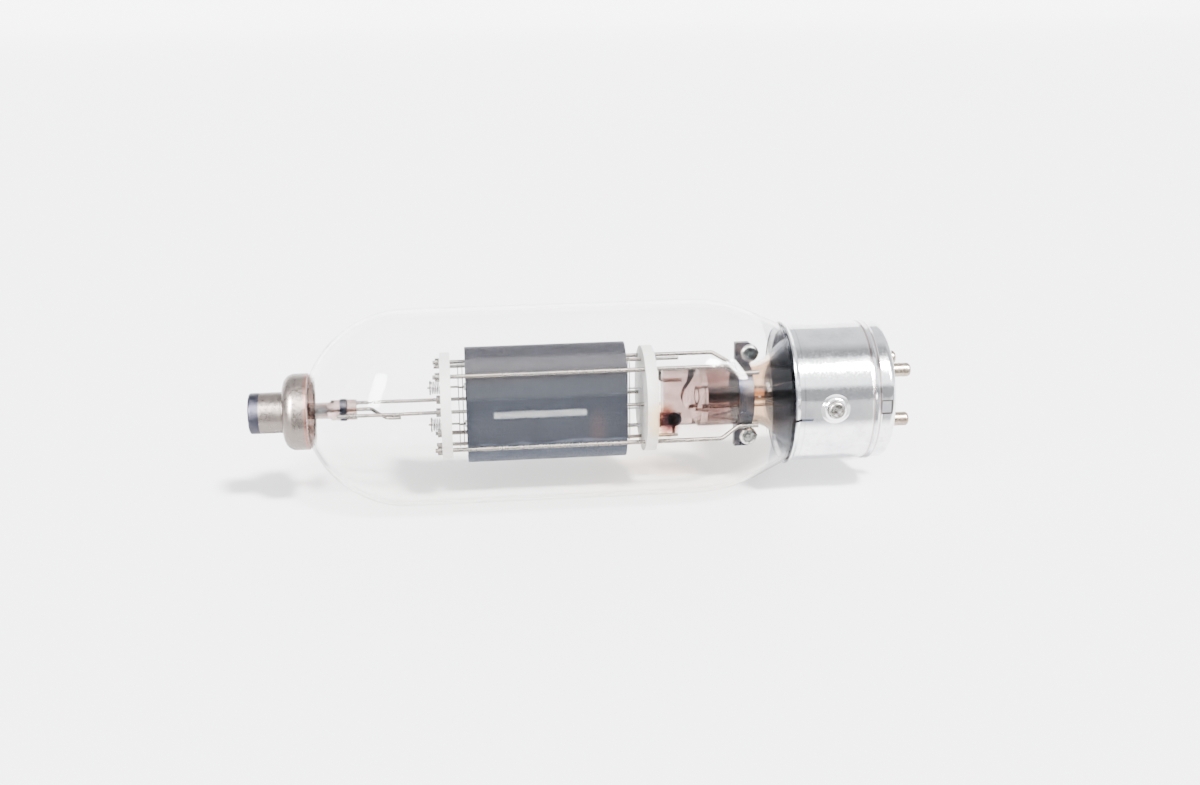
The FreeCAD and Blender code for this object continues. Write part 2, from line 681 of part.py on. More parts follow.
def make_cap_skirt():
    """Bell-shaped skirt of the cap, cemented over the glass neck."""
    wall = s.cap_wall
    corner_x = s.skirt_face_x + s.skirt_corner
    turned("cap_skirt", [
        (s.skirt_face_x, s.cap_root_radius + s.snug),
        (s.skirt_face_x, s.skirt_radius - s.skirt_corner, s.skirt_corner, -1),
        (corner_x, s.skirt_radius),
        (s.skirt_rim_x, s.skirt_radius),
        (s.skirt_rim_x, s.skirt_radius - wall),
        (corner_x, s.skirt_radius - wall, s.skirt_corner - wall, 1),
        (s.skirt_face_x + wall, s.skirt_radius - s.skirt_corner),
        (s.skirt_face_x + wall, s.cap_root_radius + s.snug),
    ])


def make_cap_cement():
    """Cement between the skirt and the glass neck, with a lip past the skirt's rim."""
    inner = s.top_neck_radius + s.snug
    outer = s.skirt_radius - s.cap_wall - s.snug
    turned("cap_cement", [
        (s.cement_start_x, inner),
        (s.cement_start_x, outer),
        (s.skirt_rim_x + s.snug, outer),
        (s.skirt_rim_x + s.snug, s.skirt_radius - s.cap_wall / 2),
        (s.cement_lip_x, outer),
        (s.skirt_rim_x - s.cement_setback, inner),
    ])


# ---------------------------------------------------------------- leads at the cap end

def make_cap_leads():
    """Lead from the cap to the press, its sleeve, and the lead from the press to the anode rod."""
    start_x = s.cap_end_x + s.solder_film + s.snug
    wire("cap_lead", [(start_x, ZERO), (s.lead_joint_x, ZERO)], s.seal_wire_radius)
    turned("lead_sleeve", [
        (s.sleeve_start_x, s.seal_wire_radius + s.snug),
        (s.sleeve_start_x, s.sleeve_radius),
        (s.sleeve_end_x, s.sleeve_radius),
        (s.sleeve_end_x, s.seal_wire_radius + s.snug),
    ])
    touching = s.anode_rod_radius + s.seal_wire_radius + s.snug
    weld_offset = leg(s.anode_rod_offset, touching)
    roll = 180 + math.degrees(math.asin(touching.value / s.anode_rod_offset.value))
    path = [
        (s.lead_joint_x + s.snug, ZERO),
        (s.lead_bend_x, ZERO),
        (s.lead_weld_x, weld_offset),
        (s.lead_tail_x, weld_offset),
    ]
    wire("anode_lead", path, s.seal_wire_radius, bend=s.lead_bend.value, degrees=roll)


def make_seal_band():
    """Metal band round the top press, reaching out to both anode rods."""
    reach = s.anode_rod_offset - s.anode_rod_radius - s.snug
    half_height = s.seal_press_height / 2 + s.snug
    half_depth = s.seal_press_depth / 2 + s.snug
    body = new_body("seal_band")
    ring = [
        stadium(half_height + s.band_sheet, half_depth + s.band_sheet),
        stadium(half_height, half_depth),
    ]
    pad(body, "YZ_Plane", s.band_x, s.band_width, ring)
    half_tab = s.band_sheet
    for low, high in ((half_depth + s.band_sheet / 2, reach), (-reach, -half_depth - s.band_sheet / 2)):
        pad(body, "YZ_Plane", s.band_x, s.band_width, [rectangle(low, high, -half_tab, half_tab)])


# ---------------------------------------------------------------- anode and ceramics

def make_anode():
    """Flat oval graphite anode, with a bore in each flat wall for its rod."""
    body = new_body("anode")
    half_height = s.anode_height / 2
    half_depth = s.anode_depth / 2
    wall = s.anode_wall
    outlines = [stadium(half_height, half_depth), stadium(half_height - wall, half_depth - wall)]
    bores = [(s.anode_rod_offset * side, ZERO, s.anode_rod_radius + s.snug) for side in (1, -1)]
    pad(body, "YZ_Plane", s.anode_start_x, s.anode_length, outlines, bores)


def make_anode_rods():
    """Rods that carry the anode between the two ceramics."""
    for name, side in (("front", -1), ("back", 1)):
        rod = wire(f"anode_rod_{name}", [(s.anode_rod_start_x, ZERO), (s.anode_rod_end_x, ZERO)],
                   s.anode_rod_radius)
        place(rod, y=s.anode_rod_offset * side)


def electrode_holes(clearance):
    """Return the holes for the anode's and the grid's rods."""
    holes = [(s.anode_rod_offset * side, ZERO, s.anode_rod_radius + clearance) for side in (1, -1)]
    for side in (1, -1):
        holes.append((ZERO, s.grid_rod_height * side, s.grid_rod_radius + clearance))
    return holes


def support_rod_places():
    """Return the four corners where the support rods run."""
    return [(s.rod_depth * y_side, s.rod_height * z_side) for y_side in (1, -1) for z_side in (1, -1)]


def filament_feet():
    """Return the heights of the filament legs' lower ends."""
    return [(s.filament_height + s.filament_spread * leg_side) * side
            for side in (1, -1) for leg_side in (1, -1)]


def make_ceramics():
    """White discs that space the electrodes, and the strap on the lower one."""
    rods = [(y, z, s.rod_radius + s.snug) for y, z in support_rod_places()]
    hooks = [(ZERO, s.filament_height * side, s.hook_radius + s.slide_clearance) for side in (1, -1)]
    feet = [(ZERO, z, s.filament_radius * 2) for z in filament_feet()]
    plate("upper_ceramic", s.upper_ceramic_x, s.upper_ceramic_thickness, disc_radius=s.ceramic_radius,
          holes=rods + electrode_holes(s.snug) + hooks)
    plate("lower_ceramic", s.lower_ceramic_x, s.lower_ceramic_thickness, disc_radius=s.ceramic_radius,
          holes=rods + electrode_holes(s.snug) + feet)
    half_height = s.strap_height / 2
    half_depth = s.strap_depth / 2
    strap_x = s.lower_ceramic_x + s.lower_ceramic_thickness + s.snug
    grid_holes = [(ZERO, s.grid_rod_height * side, s.grid_rod_radius + s.snug) for side in (1, -1)]
    plate("ceramic_strap", strap_x, s.strap_sheet,
          outline=rectangle(-half_depth, half_depth, -half_height, half_height), holes=grid_holes + feet)


def make_support_rods():
    """Four rods from the upper ceramic to the collar, bent inwards at the collar."""
    spread = root(s.rod_depth * s.rod_depth + s.rod_height * s.rod_height)
    weld_radius = s.stem_radius + s.collar_sheet + s.rod_radius + s.weld_gap
    path = [
        (s.rod_start_x, spread),
        (s.rod_bend_x, spread),
        (s.rod_weld_x, weld_radius),
        (s.rod_end_x, weld_radius),
    ]
    for number, (y, z) in enumerate(support_rod_places(), start=1):
        roll = math.degrees(math.atan2(z.value, y.value))
        wire(f"support_rod_{number}", path, s.rod_radius, bend=s.support_bend.value, degrees=roll)
    start_x = s.upper_ceramic_x - s.ferrule_length - s.snug
    end_x = s.upper_ceramic_x - s.snug
    ferrule = [
        (start_x, s.rod_radius + s.snug),
        (start_x, s.ferrule_radius),
        (end_x, s.ferrule_radius),
        (end_x, s.rod_radius + s.snug),
    ]
    places = support_rod_places() + [(s.anode_rod_offset * side, ZERO) for side in (1, -1)]
    group_along_axis("rod_ferrules", ferrule, places)


# ---------------------------------------------------------------- grid and filament

def make_grid():
    """Two side rods, the flat winding round them, and the link to the press."""
    for name, side in (("upper", 1), ("lower", -1)):
        rod = wire(f"grid_rod_{name}", [(s.grid_rod_start_x, ZERO), (s.grid_rod_end_x, ZERO)],
                   s.grid_rod_radius)
        place(rod, z=s.grid_rod_height * side)
    body = new_body("grid_winding")
    half_height = s.grid_rod_height + s.grid_rod_radius + s.snug
    outer = stadium(half_height + s.grid_wire, s.grid_half_depth + s.grid_wire)
    turn_pad = pad(body, "YZ_Plane", s.grid_start_x, s.grid_wire,
                   [outer, stadium(half_height, s.grid_half_depth)])
    pattern = body.newObject("PartDesign::LinearPattern", "grid_turns")
    pattern.Originals = [turn_pad]
    axis = next(item for item in body.Origin.OriginFeatures if item.Role == "X_Axis")
    pattern.Direction = (axis, [""])
    pattern.Mode = "Spacing"
    bind(pattern, "Offset", s.grid_pitch)
    bind(pattern, "Occurrences", s.grid_turns)
    body.Tip = pattern
    doc.recompute()
    link_start = s.press_height / 2 + s.snug
    link_end = s.grid_rod_height - s.grid_rod_radius - s.snug
    link = turned("grid_link", rectangle(link_start, link_end, ZERO, s.grid_rod_radius))
    place(link, x=s.grid_link_x, turn_about=(0, 1, 0), degrees=90.0)


def make_filaments():
    """Two hairpins, each a pair of slanted legs joined by a crown at its hook."""
    for name, side in (("upper", 1), ("lower", -1)):
        high_foot = (s.filament_foot_x, s.filament_height + s.filament_spread)
        low_foot = (s.filament_foot_x, s.filament_height - s.filament_spread)
        path = [
            high_foot,
            (s.filament_top_x, s.filament_height + s.filament_crown),
            (s.filament_top_x, s.filament_height - s.filament_crown),
            low_foot,
        ]
        wire(f"filament_{name}", path, s.filament_radius, bend=s.filament_bend.value, degrees=90.0 * side)


def make_filament_tensioners():
    """Hooks on the filaments' crowns, with the springs and washers that pull them tight."""
    hook_x = s.filament_top_x + s.filament_radius + s.hook_radius * 1.8
    pass_depth = s.filament_radius + s.hook_radius + s.hook_gap
    washer_x = s.upper_ceramic_x - s.spring_length
    spring_start_x = washer_x + s.spring_wire + s.snug
    for name, side in (("upper", 1), ("lower", -1)):
        height = s.filament_height * side
        hook = wire(f"filament_hook_{name}", [
            (s.hook_end_x, ZERO),
            (s.filament_top_x - s.hook_rise, ZERO),
            (s.filament_top_x - s.hook_throat, -pass_depth),
            (hook_x, -pass_depth),
            (hook_x, pass_depth),
        ], s.hook_radius, bend=s.hook_bend.value)
        place(hook, z=height)
        washer = turned(f"spring_retainer_{name}", rectangle(
            washer_x - s.retainer_thickness, washer_x, s.hook_radius + s.snug, s.retainer_radius))
        place(washer, z=height)
        spring = new_body(f"tension_spring_{name}")
        section = new_sketch(spring, "XY_Plane")
        draw_circle(section, spring_start_x, s.spring_radius, s.spring_wire)
        doc.recompute()
        coil = spring.newObject("PartDesign::AdditiveHelix", f"{spring.Label}_coil")
        coil.Profile = section
        coil.ReferenceAxis = (section, ["H_Axis"])
        coil.Mode = "height-turns-angle"
        bind(coil, "Height", s.spring_length - s.spring_wire * 2 - s.snug * 2)
        bind(coil, "Turns", s.spring_turns)
        doc.recompute()
        place(spring, z=height)


def make_filament_mounts():
    """Posts in the press for the outer legs, and the bridge that joins the inner legs."""
    for name, side in (("upper", 1), ("lower", -1)):
        path = [
            (s.post_root_x - s.snug, s.post_height),
            (s.post_arm_x + s.post_radius, s.post_height),
            (s.post_arm_x + s.post_radius, s.filament_height + s.filament_spread + s.post_overhang),
        ]
        wire(f"filament_post_{name}", path, s.post_radius, bend=s.post_bend.value, degrees=90.0 * side)
    reach = s.filament_height - s.filament_spread + s.bridge_overhang
    bridge = turned("filament_bridge", rectangle(-reach, reach, ZERO, s.filament_radius * 1.4))
    place(bridge, x=s.filament_foot_x + s.filament_radius * 1.5, turn_about=(0, 1, 0), degrees=90.0)


# ---------------------------------------------------------------- collar on the stem

def make_stem_collar():
    """Two half bands clamped round the stem tube, with ears for the clamp screws."""
    inner = s.stem_radius + s.snug
    outer = s.stem_radius + s.collar_sheet
    gap = s.collar_gap
    half = [
        (-gap, leg(inner, gap), inner, 1),
        (-gap, -leg(inner, gap)),
        (-gap, -leg(outer, gap), outer, -1),
        (-gap, leg(outer, gap)),
    ]
    nose = s.ear_top - s.screw_height
    for name, degrees in (("front", 0.0), ("back", 180.0)):
        body = new_body(f"stem_collar_{name}")
        pad(body, "YZ_Plane", s.collar_x, s.collar_width, [half])
        for side in (1, -1):
            corners = [
                (s.collar_x, s.ear_root * side),
                (s.screw_x, s.ear_root * side),
                (s.screw_x + nose, s.screw_height * side),
                (s.screw_x, s.ear_top * side),
                (s.collar_x, s.ear_top * side),
            ]
            pad(body, "XZ_Plane", gap, s.ear_sheet, [corners])
        holes = [(s.screw_x, s.screw_height * side, s.screw_radius + s.snug) for side in (1, -1)]
        pocket(body, "XZ_Plane", gap + s.ear_sheet, s.ear_sheet, circles=holes)
        place(body, turn_about=(1, 0, 0), degrees=degrees)


def make_clamp_hardware():
    """Screws and nuts through the ears of the collar."""
    face = s.collar_gap + s.ear_sheet + s.snug
    head = face + s.screw_head_length
    for name, side in (("upper", 1), ("lower", -1)):
        height = s.screw_height * side
        screw = turned(f"clamp_screw_{name}", [
            (-s.screw_reach, ZERO),
            (-s.screw_reach, s.screw_radius),
            (face, s.screw_radius),
            (face, s.screw_head_radius),
            (head - s.small_edge, s.screw_head_radius, s.small_edge, 1),
            (head, s.screw_head_radius - s.small_edge),
            (head, ZERO),
        ])
        slot = rectangle(-s.screw_head_radius, s.screw_head_radius, -s.slot_half_width, s.slot_half_width)
        pocket(screw, "YZ_Plane", head, as_size(0.7), [slot])
        place(screw, x=s.screw_x, z=height, turn_about=(0, 0, 1), degrees=-90.0)
        nut = new_body(f"clamp_nut_{name}")
        half_flats = s.nut_flats / 2
        corner = half_flats * (2 / math.sqrt(3))
        hexagon = [(corner, ZERO), (corner / 2, half_flats), (-corner / 2, half_flats),
                   (-corner, ZERO), (-corner / 2, -half_flats), (corner / 2, -half_flats)]
        bore = (ZERO, ZERO, s.screw_radius + s.snug)
        pad(nut, "YZ_Plane", face, s.nut_thickness, [hexagon], [bore])
        place(nut, x=s.screw_x, z=height, turn_about=(0, 0, 1), degrees=90.0)


def make_getter():
    """Getter cup facing the near wall, and the wire that holds it to the front anode rod."""
    cup = turned("getter_cup", [
        (s.getter_depth - s.getter_thickness, ZERO),
        (s.getter_depth - s.getter_thickness, s.getter_radius),
        (s.getter_depth, s.getter_radius),
        (s.getter_depth, s.getter_radius - s.small_edge),
        (s.getter_depth - s.getter_thickness + s.small_edge, s.getter_radius - s.small_edge),
        (s.getter_depth - s.getter_thickness + s.small_edge, ZERO),
    ])
    place(cup, x=s.getter_x, z=-s.getter_drop, turn_about=(0, 0, 1), degrees=-90.0)
    start = s.ceramic_radius - s.getter_foot_inset
    back = s.getter_depth - s.getter_thickness - s.getter_wire_radius - s.snug
    path = [
        (s.lower_ceramic_x + s.lower_ceramic_thickness + s.snug, start),
        (s.getter_x - s.getter_radius, start),
        (s.getter_x, back),
        (s.getter_x + s.getter_radius * 0.6, back),
    ]
    stalk = wire("getter_wire", path, s.getter_wire_radius, bend=s.getter_wire_bend.value, degrees=180.0)
    place(stalk, z=-s.getter_drop, turn_about=(1, 0, 0), degrees=180.0)


# ---------------------------------------------------------------- base

def make_base_shell():
    """Metal shell of the base: flared rim, rolled groove, turned-in end, slit and crimp."""
    wall = s.shell_wall
    radius = s.shell_radius
    inner = radius - wall
    corner_x = s.shell_end_x - s.shell_corner
    ridge = [
        (s.ridge_x - s.ridge_pitch * 2, radius),
        (s.ridge_x - s.ridge_pitch, radius + s.ridge_height),
        (s.ridge_x, radius - s.ridge_height),
        (s.ridge_x + s.ridge_pitch, radius + s.ridge_height),
        (s.ridge_x + s.ridge_pitch * 2, radius),
    ]
    body = turned("base_shell", [
        (s.shell_rim_x, s.shell_rim_radius - wall / 2),
        (s.shell_rim_x + s.rim_turn, s.shell_rim_radius),
        (s.shell_rim_x + s.rim_flat, s.shell_rim_radius),
        (s.shell_rim_x + s.rim_step, radius),
        *ridge,
        (corner_x, radius, s.shell_corner, -1),
        (s.shell_end_x, radius - s.shell_corner),
        (s.shell_end_x, s.shell_lip_radius),
        (s.shell_end_x - wall, s.shell_lip_radius),
        (s.shell_end_x - wall, radius - s.shell_corner, s.shell_corner - wall, 1),
        (corner_x, inner),
        (s.shell_rim_x + s.rim_inner_end, inner),
        (s.shell_rim_x + s.rim_inner_start, s.shell_rim_radius - wall),
    ])
    front = s.shell_rim_radius + 1
    slit = rectangle(s.shell_rim_x - 1, s.slit_end_x, -s.slit_drop - s.slit_width, -s.slit_drop)
    pocket(body, "XZ_Plane", front, s.shell_rim_radius * 0.3, [slit])
    half_length = s.crimp_length / 2
    half_height = s.crimp_height / 2
    crimp = rectangle(s.crimp_x - half_length, s.crimp_x + half_length, -half_height, half_height)
    crimp_floor = radius - s.crimp_depth
    pocket(body, "XZ_Plane", front, front - crimp_floor, [crimp])
    hole = (s.bayonet_x, ZERO, s.bayonet_radius + s.snug)
    pocket(body, "XZ_Plane", front, s.shell_rim_radius * 0.3, circles=[hole])


def make_base_cement():
    """Cement that fills the gap between the neck and the shell."""
    turned("base_cement", rectangle(
        s.neck_start_x + s.cement_start, s.base_cement_x - s.cement_length, s.neck_radius + s.snug,
        s.shell_radius - s.shell_wall - s.snug))


def make_bayonet_pin():
    """Hollow locking pin of the base, riveted through the shell."""
    inside = s.neck_radius + s.snug * 4
    pin = turned("bayonet_pin", [
        (inside, ZERO),
        (inside, s.bayonet_radius),
        (s.bayonet_reach - s.small_edge, s.bayonet_radius, s.small_edge, 1),
        (s.bayonet_reach, s.bayonet_radius - s.small_edge),
        (s.bayonet_reach, s.bayonet_recess),
        (s.bayonet_reach - s.bayonet_recess_depth, s.bayonet_recess),
        (s.bayonet_reach - s.bayonet_recess_depth, ZERO),
    ])
    place(pin, x=s.bayonet_x, turn_about=(0, 0, 1), degrees=-90.0)


def pin_places():
    """Return the four places of the base pins, going round."""
    side = s.pin_circle / (2 * math.sqrt(2))
    return [(side * -1, side), (side * -1, side * -1), (side, side * -1), (side, side)]


def base_lead_places():
    """Return where the three leads leave the stem: one towards each of the first three pins."""
    side = s.base_lead_depth / math.sqrt(2)
    return [(side * -1, side), (side * -1, side * -1), (side, side * -1)]


def make_base_insulator():
    """Insulating disc in the end of the shell, with its boss through the shell's end hole."""
    recess = s.shell_radius - s.shell_wall - s.snug
    step_x = s.shell_end_x - s.shell_wall - s.snug
    body = turned("base_insulator", [
        (s.insulator_x, ZERO),
        (s.insulator_x, recess),
        (s.insulator_x + s.insulator_rim, recess),
        (step_x, s.shell_radius - s.shell_corner),
        (step_x, s.shell_lip_radius - s.snug * 2),
        (s.insulator_end_x, s.shell_lip_radius - s.snug * 2),
        (s.insulator_end_x, ZERO),
    ])
    holes = [(y, z, s.pin_shank_radius + s.snug) for y, z in pin_places()]
    thickness = s.insulator_end_x - s.insulator_x
    pocket(body, "YZ_Plane", s.insulator_end_x, thickness, circles=holes)


def make_base_pins():
    """Four tubular pins with a flange behind the insulator, each closed by solder."""
    flange_x = s.insulator_x - s.snug
    for number, (y, z) in enumerate(pin_places(), start=1):
        pin = turned(f"base_pin_{number}", [
            (flange_x - s.pin_flange_thickness, s.pin_bore),
            (flange_x - s.pin_flange_thickness, s.pin_flange_radius),
            (flange_x, s.pin_flange_radius),
            (flange_x, s.pin_shank_radius),
            (s.insulator_end_x + s.snug, s.pin_shank_radius),
            (s.insulator_end_x + s.snug, s.pin_radius),
            (s.pin_end_x - s.pin_edge, s.pin_radius, s.pin_edge, -1),
            (s.pin_end_x, s.pin_radius - s.pin_edge),
            (s.pin_end_x, s.pin_bore),
        ])
        place(pin, y=y, z=z)
    plug = [
        (s.base_lead_end_x + s.solder_gap, ZERO),
        (s.base_lead_end_x + s.solder_gap, s.pin_bore - s.snug),
        (s.pin_end_x, s.pin_bore - s.snug),
        (s.tube_end_x, s.pin_bore * 0.6),
        (s.tube_end_x, ZERO),
    ]
    group_along_axis("pin_solder", plug, pin_places())


def make_base_leads():
    """Leads from the stem to three of the pins: two for the filaments and one for the grid."""
    path = [
        (s.base_lead_start_x, s.base_lead_depth),
        (s.base_lead_turn_x, s.base_lead_depth),
        (s.base_lead_pin_x, s.pin_circle / 2),
        (s.base_lead_end_x, s.pin_circle / 2),
    ]
    for name, (y, z) in zip(("filament_lead_1", "grid_lead", "filament_lead_2"), base_lead_places()):
        roll = math.degrees(math.atan2(z.value, y.value))
        wire(name, path, s.base_lead_radius, bend=s.base_lead_bend.value, degrees=roll)


def check_and_write():
    """Check every object and every sub-part, then write one STEP file for each sub-part."""
    doc.recompute()
    for item in doc.Objects:
        if any(word in state for state in item.State for word in ("Invalid", "Error")):
            raise RuntimeError(f"{item.Label} did not build: {item.State}")
    os.makedirs("parts", exist_ok=True)
    for part in sub_parts:
        if part.Shape.isNull() or not part.Shape.isValid() or not part.Shape.Solids:
            raise RuntimeError(f"{part.Label} has no valid solid")
        part.Shape.exportStep(f"parts/{part.Label}.step")
    print(f"{len(sub_parts)} sub-parts written")


def main():
    """Build the tube from the outside in and write its pieces."""
    make_glass_envelope()
    make_top_seal()
    make_stem_glass()
    make_exhaust_tube()
    make_plate_cap()
    make_cap_solder()
    make_cap_skirt()
    make_cap_cement()
    make_cap_leads()
    make_seal_band()
    make_anode()
    make_anode_rods()
    make_ceramics()
    make_support_rods()
    make_grid()
    make_filaments()
    make_filament_tensioners()
    make_filament_mounts()
    make_stem_collar()
    make_clamp_hardware()
    make_getter()
    make_base_shell()
    make_base_cement()
    make_bayonet_pin()
    make_base_insulator()
    make_base_pins()
    make_base_leads()
    check_and_write()


main()
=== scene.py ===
"""Looks of a large transmitting triode that lies on its side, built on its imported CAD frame."""
import json
import math

import bmesh
import bpy
from bpy.props import FloatProperty, FloatVectorProperty, PointerProperty
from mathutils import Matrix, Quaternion, Vector


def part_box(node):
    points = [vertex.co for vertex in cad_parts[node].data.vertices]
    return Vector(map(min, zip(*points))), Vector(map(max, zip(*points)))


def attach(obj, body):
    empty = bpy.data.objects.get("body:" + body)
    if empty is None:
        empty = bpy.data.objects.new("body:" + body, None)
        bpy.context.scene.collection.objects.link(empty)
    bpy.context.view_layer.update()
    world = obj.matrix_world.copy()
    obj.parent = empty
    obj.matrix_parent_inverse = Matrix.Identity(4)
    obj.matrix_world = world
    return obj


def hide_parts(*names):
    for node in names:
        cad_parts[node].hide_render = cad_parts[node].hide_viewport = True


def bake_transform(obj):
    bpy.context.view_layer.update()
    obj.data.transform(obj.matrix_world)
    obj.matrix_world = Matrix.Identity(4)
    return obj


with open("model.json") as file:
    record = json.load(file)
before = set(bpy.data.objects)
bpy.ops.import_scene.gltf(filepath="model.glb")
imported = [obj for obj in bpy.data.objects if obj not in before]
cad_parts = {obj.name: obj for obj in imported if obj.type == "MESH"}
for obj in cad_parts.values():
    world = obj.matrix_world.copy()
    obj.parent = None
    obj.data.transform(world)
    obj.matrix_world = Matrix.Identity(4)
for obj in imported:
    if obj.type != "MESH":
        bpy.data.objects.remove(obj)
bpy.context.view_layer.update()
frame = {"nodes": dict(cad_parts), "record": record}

bl_info = {
    "name": "Transmitting Triode",
    "version": (1, 0, 0),
    "blender": (4, 5, 0),
    "location": "3D View > Sidebar > Triode",
    "description": "Gives the pieces of a transmitting triode their shapes and finishes",
    "category": "Object",
}

NODES = frame["nodes"]
MM = 0.001


def middle(node):
    """Return the middle of a CAD node's box."""
    low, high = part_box(node)
    return (low + high) / 2


AXIS_Z = middle("glass_envelope").z

# The base shell's rolled groove and crimp, which its CAD node has cut into it.
GROOVE_X = 96.75 * MM
GROOVE_HALF = 1.03 * MM
CRIMP_X = 99.9 * MM
CRIMP_LENGTH = 3.6 * MM
CRIMP_HEIGHT = 4.4 * MM


# ---------------------------------------------------------------- settings

def colour(name, description, default):
    """Return a colour property."""
    return FloatVectorProperty(name=name, description=description, subtype="COLOR", size=3,
                               min=0, max=1, default=default)


class TubeStageSettings(bpy.types.PropertyGroup):
    """Floor, light and view."""
    floor_colour: colour("Floor", "Colour of the floor and backdrop", (0.93, 0.93, 0.935))
    room_light: FloatProperty(name="Room light", description="Strength of the light from all round",
                              default=0.46, min=0)
    key_strength: FloatProperty(name="Key", description="Strength of the light high up in front",
                                default=14.5, min=0)
    window_power: FloatProperty(name="Window", description="Power of the light at the left",
                                default=75.0, min=0, unit="POWER")
    side_power: FloatProperty(name="Side", description="Power of the light at the right",
                              default=60.0, min=0, unit="POWER")
    lamp_power: FloatProperty(name="Lamp", description="Power of the small light by the viewer",
                              default=1.1, min=0, unit="POWER")
    lens: FloatProperty(name="Lens", description="Focal length of the camera in millimetres",
                        default=45.0, min=10)
    azimuth: FloatProperty(name="Azimuth", description="How far the camera stands to the side",
                           default=math.radians(-5.8), subtype="ANGLE")
    elevation: FloatProperty(name="Elevation", description="Height of the camera above the horizon",
                             default=math.radians(15.5), subtype="ANGLE")
    roll: FloatProperty(name="Roll", description="Tilt of the camera about its line of sight",
                        default=math.radians(-0.75), subtype="ANGLE")
    distance: FloatProperty(name="Distance", description="From the camera to the tube's axis",
                            default=0.514, min=0.1, unit="LENGTH")


class TubeGlassSettings(bpy.types.PropertyGroup):
    """Bulb and stem glass."""
    clear: colour("Clear glass", "Tint of the bulb", (0.985, 0.985, 0.982))
    # Painted shade: this tint makes the bulb warmer and a little darker low on the right, standing in for
    # the floor's shade seen through it.
    warm: colour("Warm tint", "Tint of the bulb where metal has settled on it", (0.93, 0.87, 0.80))
    # Painted shade: the dark outline of the bulb where it is seen edge on.
    edge: colour("Edge", "Tint of the bulb where it is seen edge on", (0.42, 0.40, 0.38))
    film: colour("Film", "Smoky film by the stem", (0.50, 0.36, 0.34))
    stain: colour("Stain", "Heart of the getter stain", (0.030, 0.016, 0.020))
    red_stain: colour("Red stain", "Red ring of the getter stain", (0.36, 0.13, 0.11))
    halo: colour("Halo", "Edge of the getter stain", (0.93, 0.68, 0.38))
    amber: colour("Amber", "Tint of the stem's flare", (0.74, 0.57, 0.44))
    stem: colour("Stem glass", "Tint of the stem", (0.27, 0.20, 0.18))


class TubeMetalSettings(bpy.types.PropertyGroup):
    """Metal finishes."""
    shell: colour("Base shell", "Polished aluminium", (0.74, 0.745, 0.76))
    nickel: colour("Wire nickel", "Drawn nickel", (0.19, 0.18, 0.17))
    dark_nickel: colour("Dark nickel", "Oxidised nickel sheet", (0.016, 0.018, 0.026))
    cap: colour("Cap nickel", "Nickel plate of the cap", (0.145, 0.124, 0.112))
    copper: colour("Bare copper", "Where the plate has worn through", (0.20, 0.11, 0.09))
    tinned: colour("Tinned end", "Dull solder on the cap", (0.026, 0.026, 0.036))
    shell_radius: FloatProperty(name="Shell radius", description="Outside radius of the base shell",
                                default=0.0236, min=0.01, unit="LENGTH")
    filament_radius: FloatProperty(name="Filament wire", description="Radius of the filament wire",
                                   default=0.0003, min=0.00005, unit="LENGTH")
    spring_wire: FloatProperty(name="Spring wire", description="Radius of the spring wire",
                               default=0.00022, min=0.00005, unit="LENGTH")


class TubeCarbonSettings(bpy.types.PropertyGroup):
    """Graphite and ceramic."""
    graphite: colour("Graphite", "Smooth graphite", (0.006, 0.0075, 0.012))
    # Rough graphite along the top, lighter partly as painted top light.
    graphite_dust_and_top_light: colour("Graphite dust", "Rough lighter graphite", (0.024, 0.022, 0.030))
    ceramic: colour("Ceramic", "Unglazed ceramic", (0.60, 0.59, 0.58))


class TubeSettings(bpy.types.PropertyGroup):
    """Everything that a user would change."""
    stage: PointerProperty(type=TubeStageSettings)
    glass: PointerProperty(type=TubeGlassSettings)
    metal: PointerProperty(type=TubeMetalSettings)
    carbon: PointerProperty(type=TubeCarbonSettings)


def settings():
    """Return the scene's settings."""
    return bpy.context.scene.tube_settings


# ---------------------------------------------------------------- material helpers

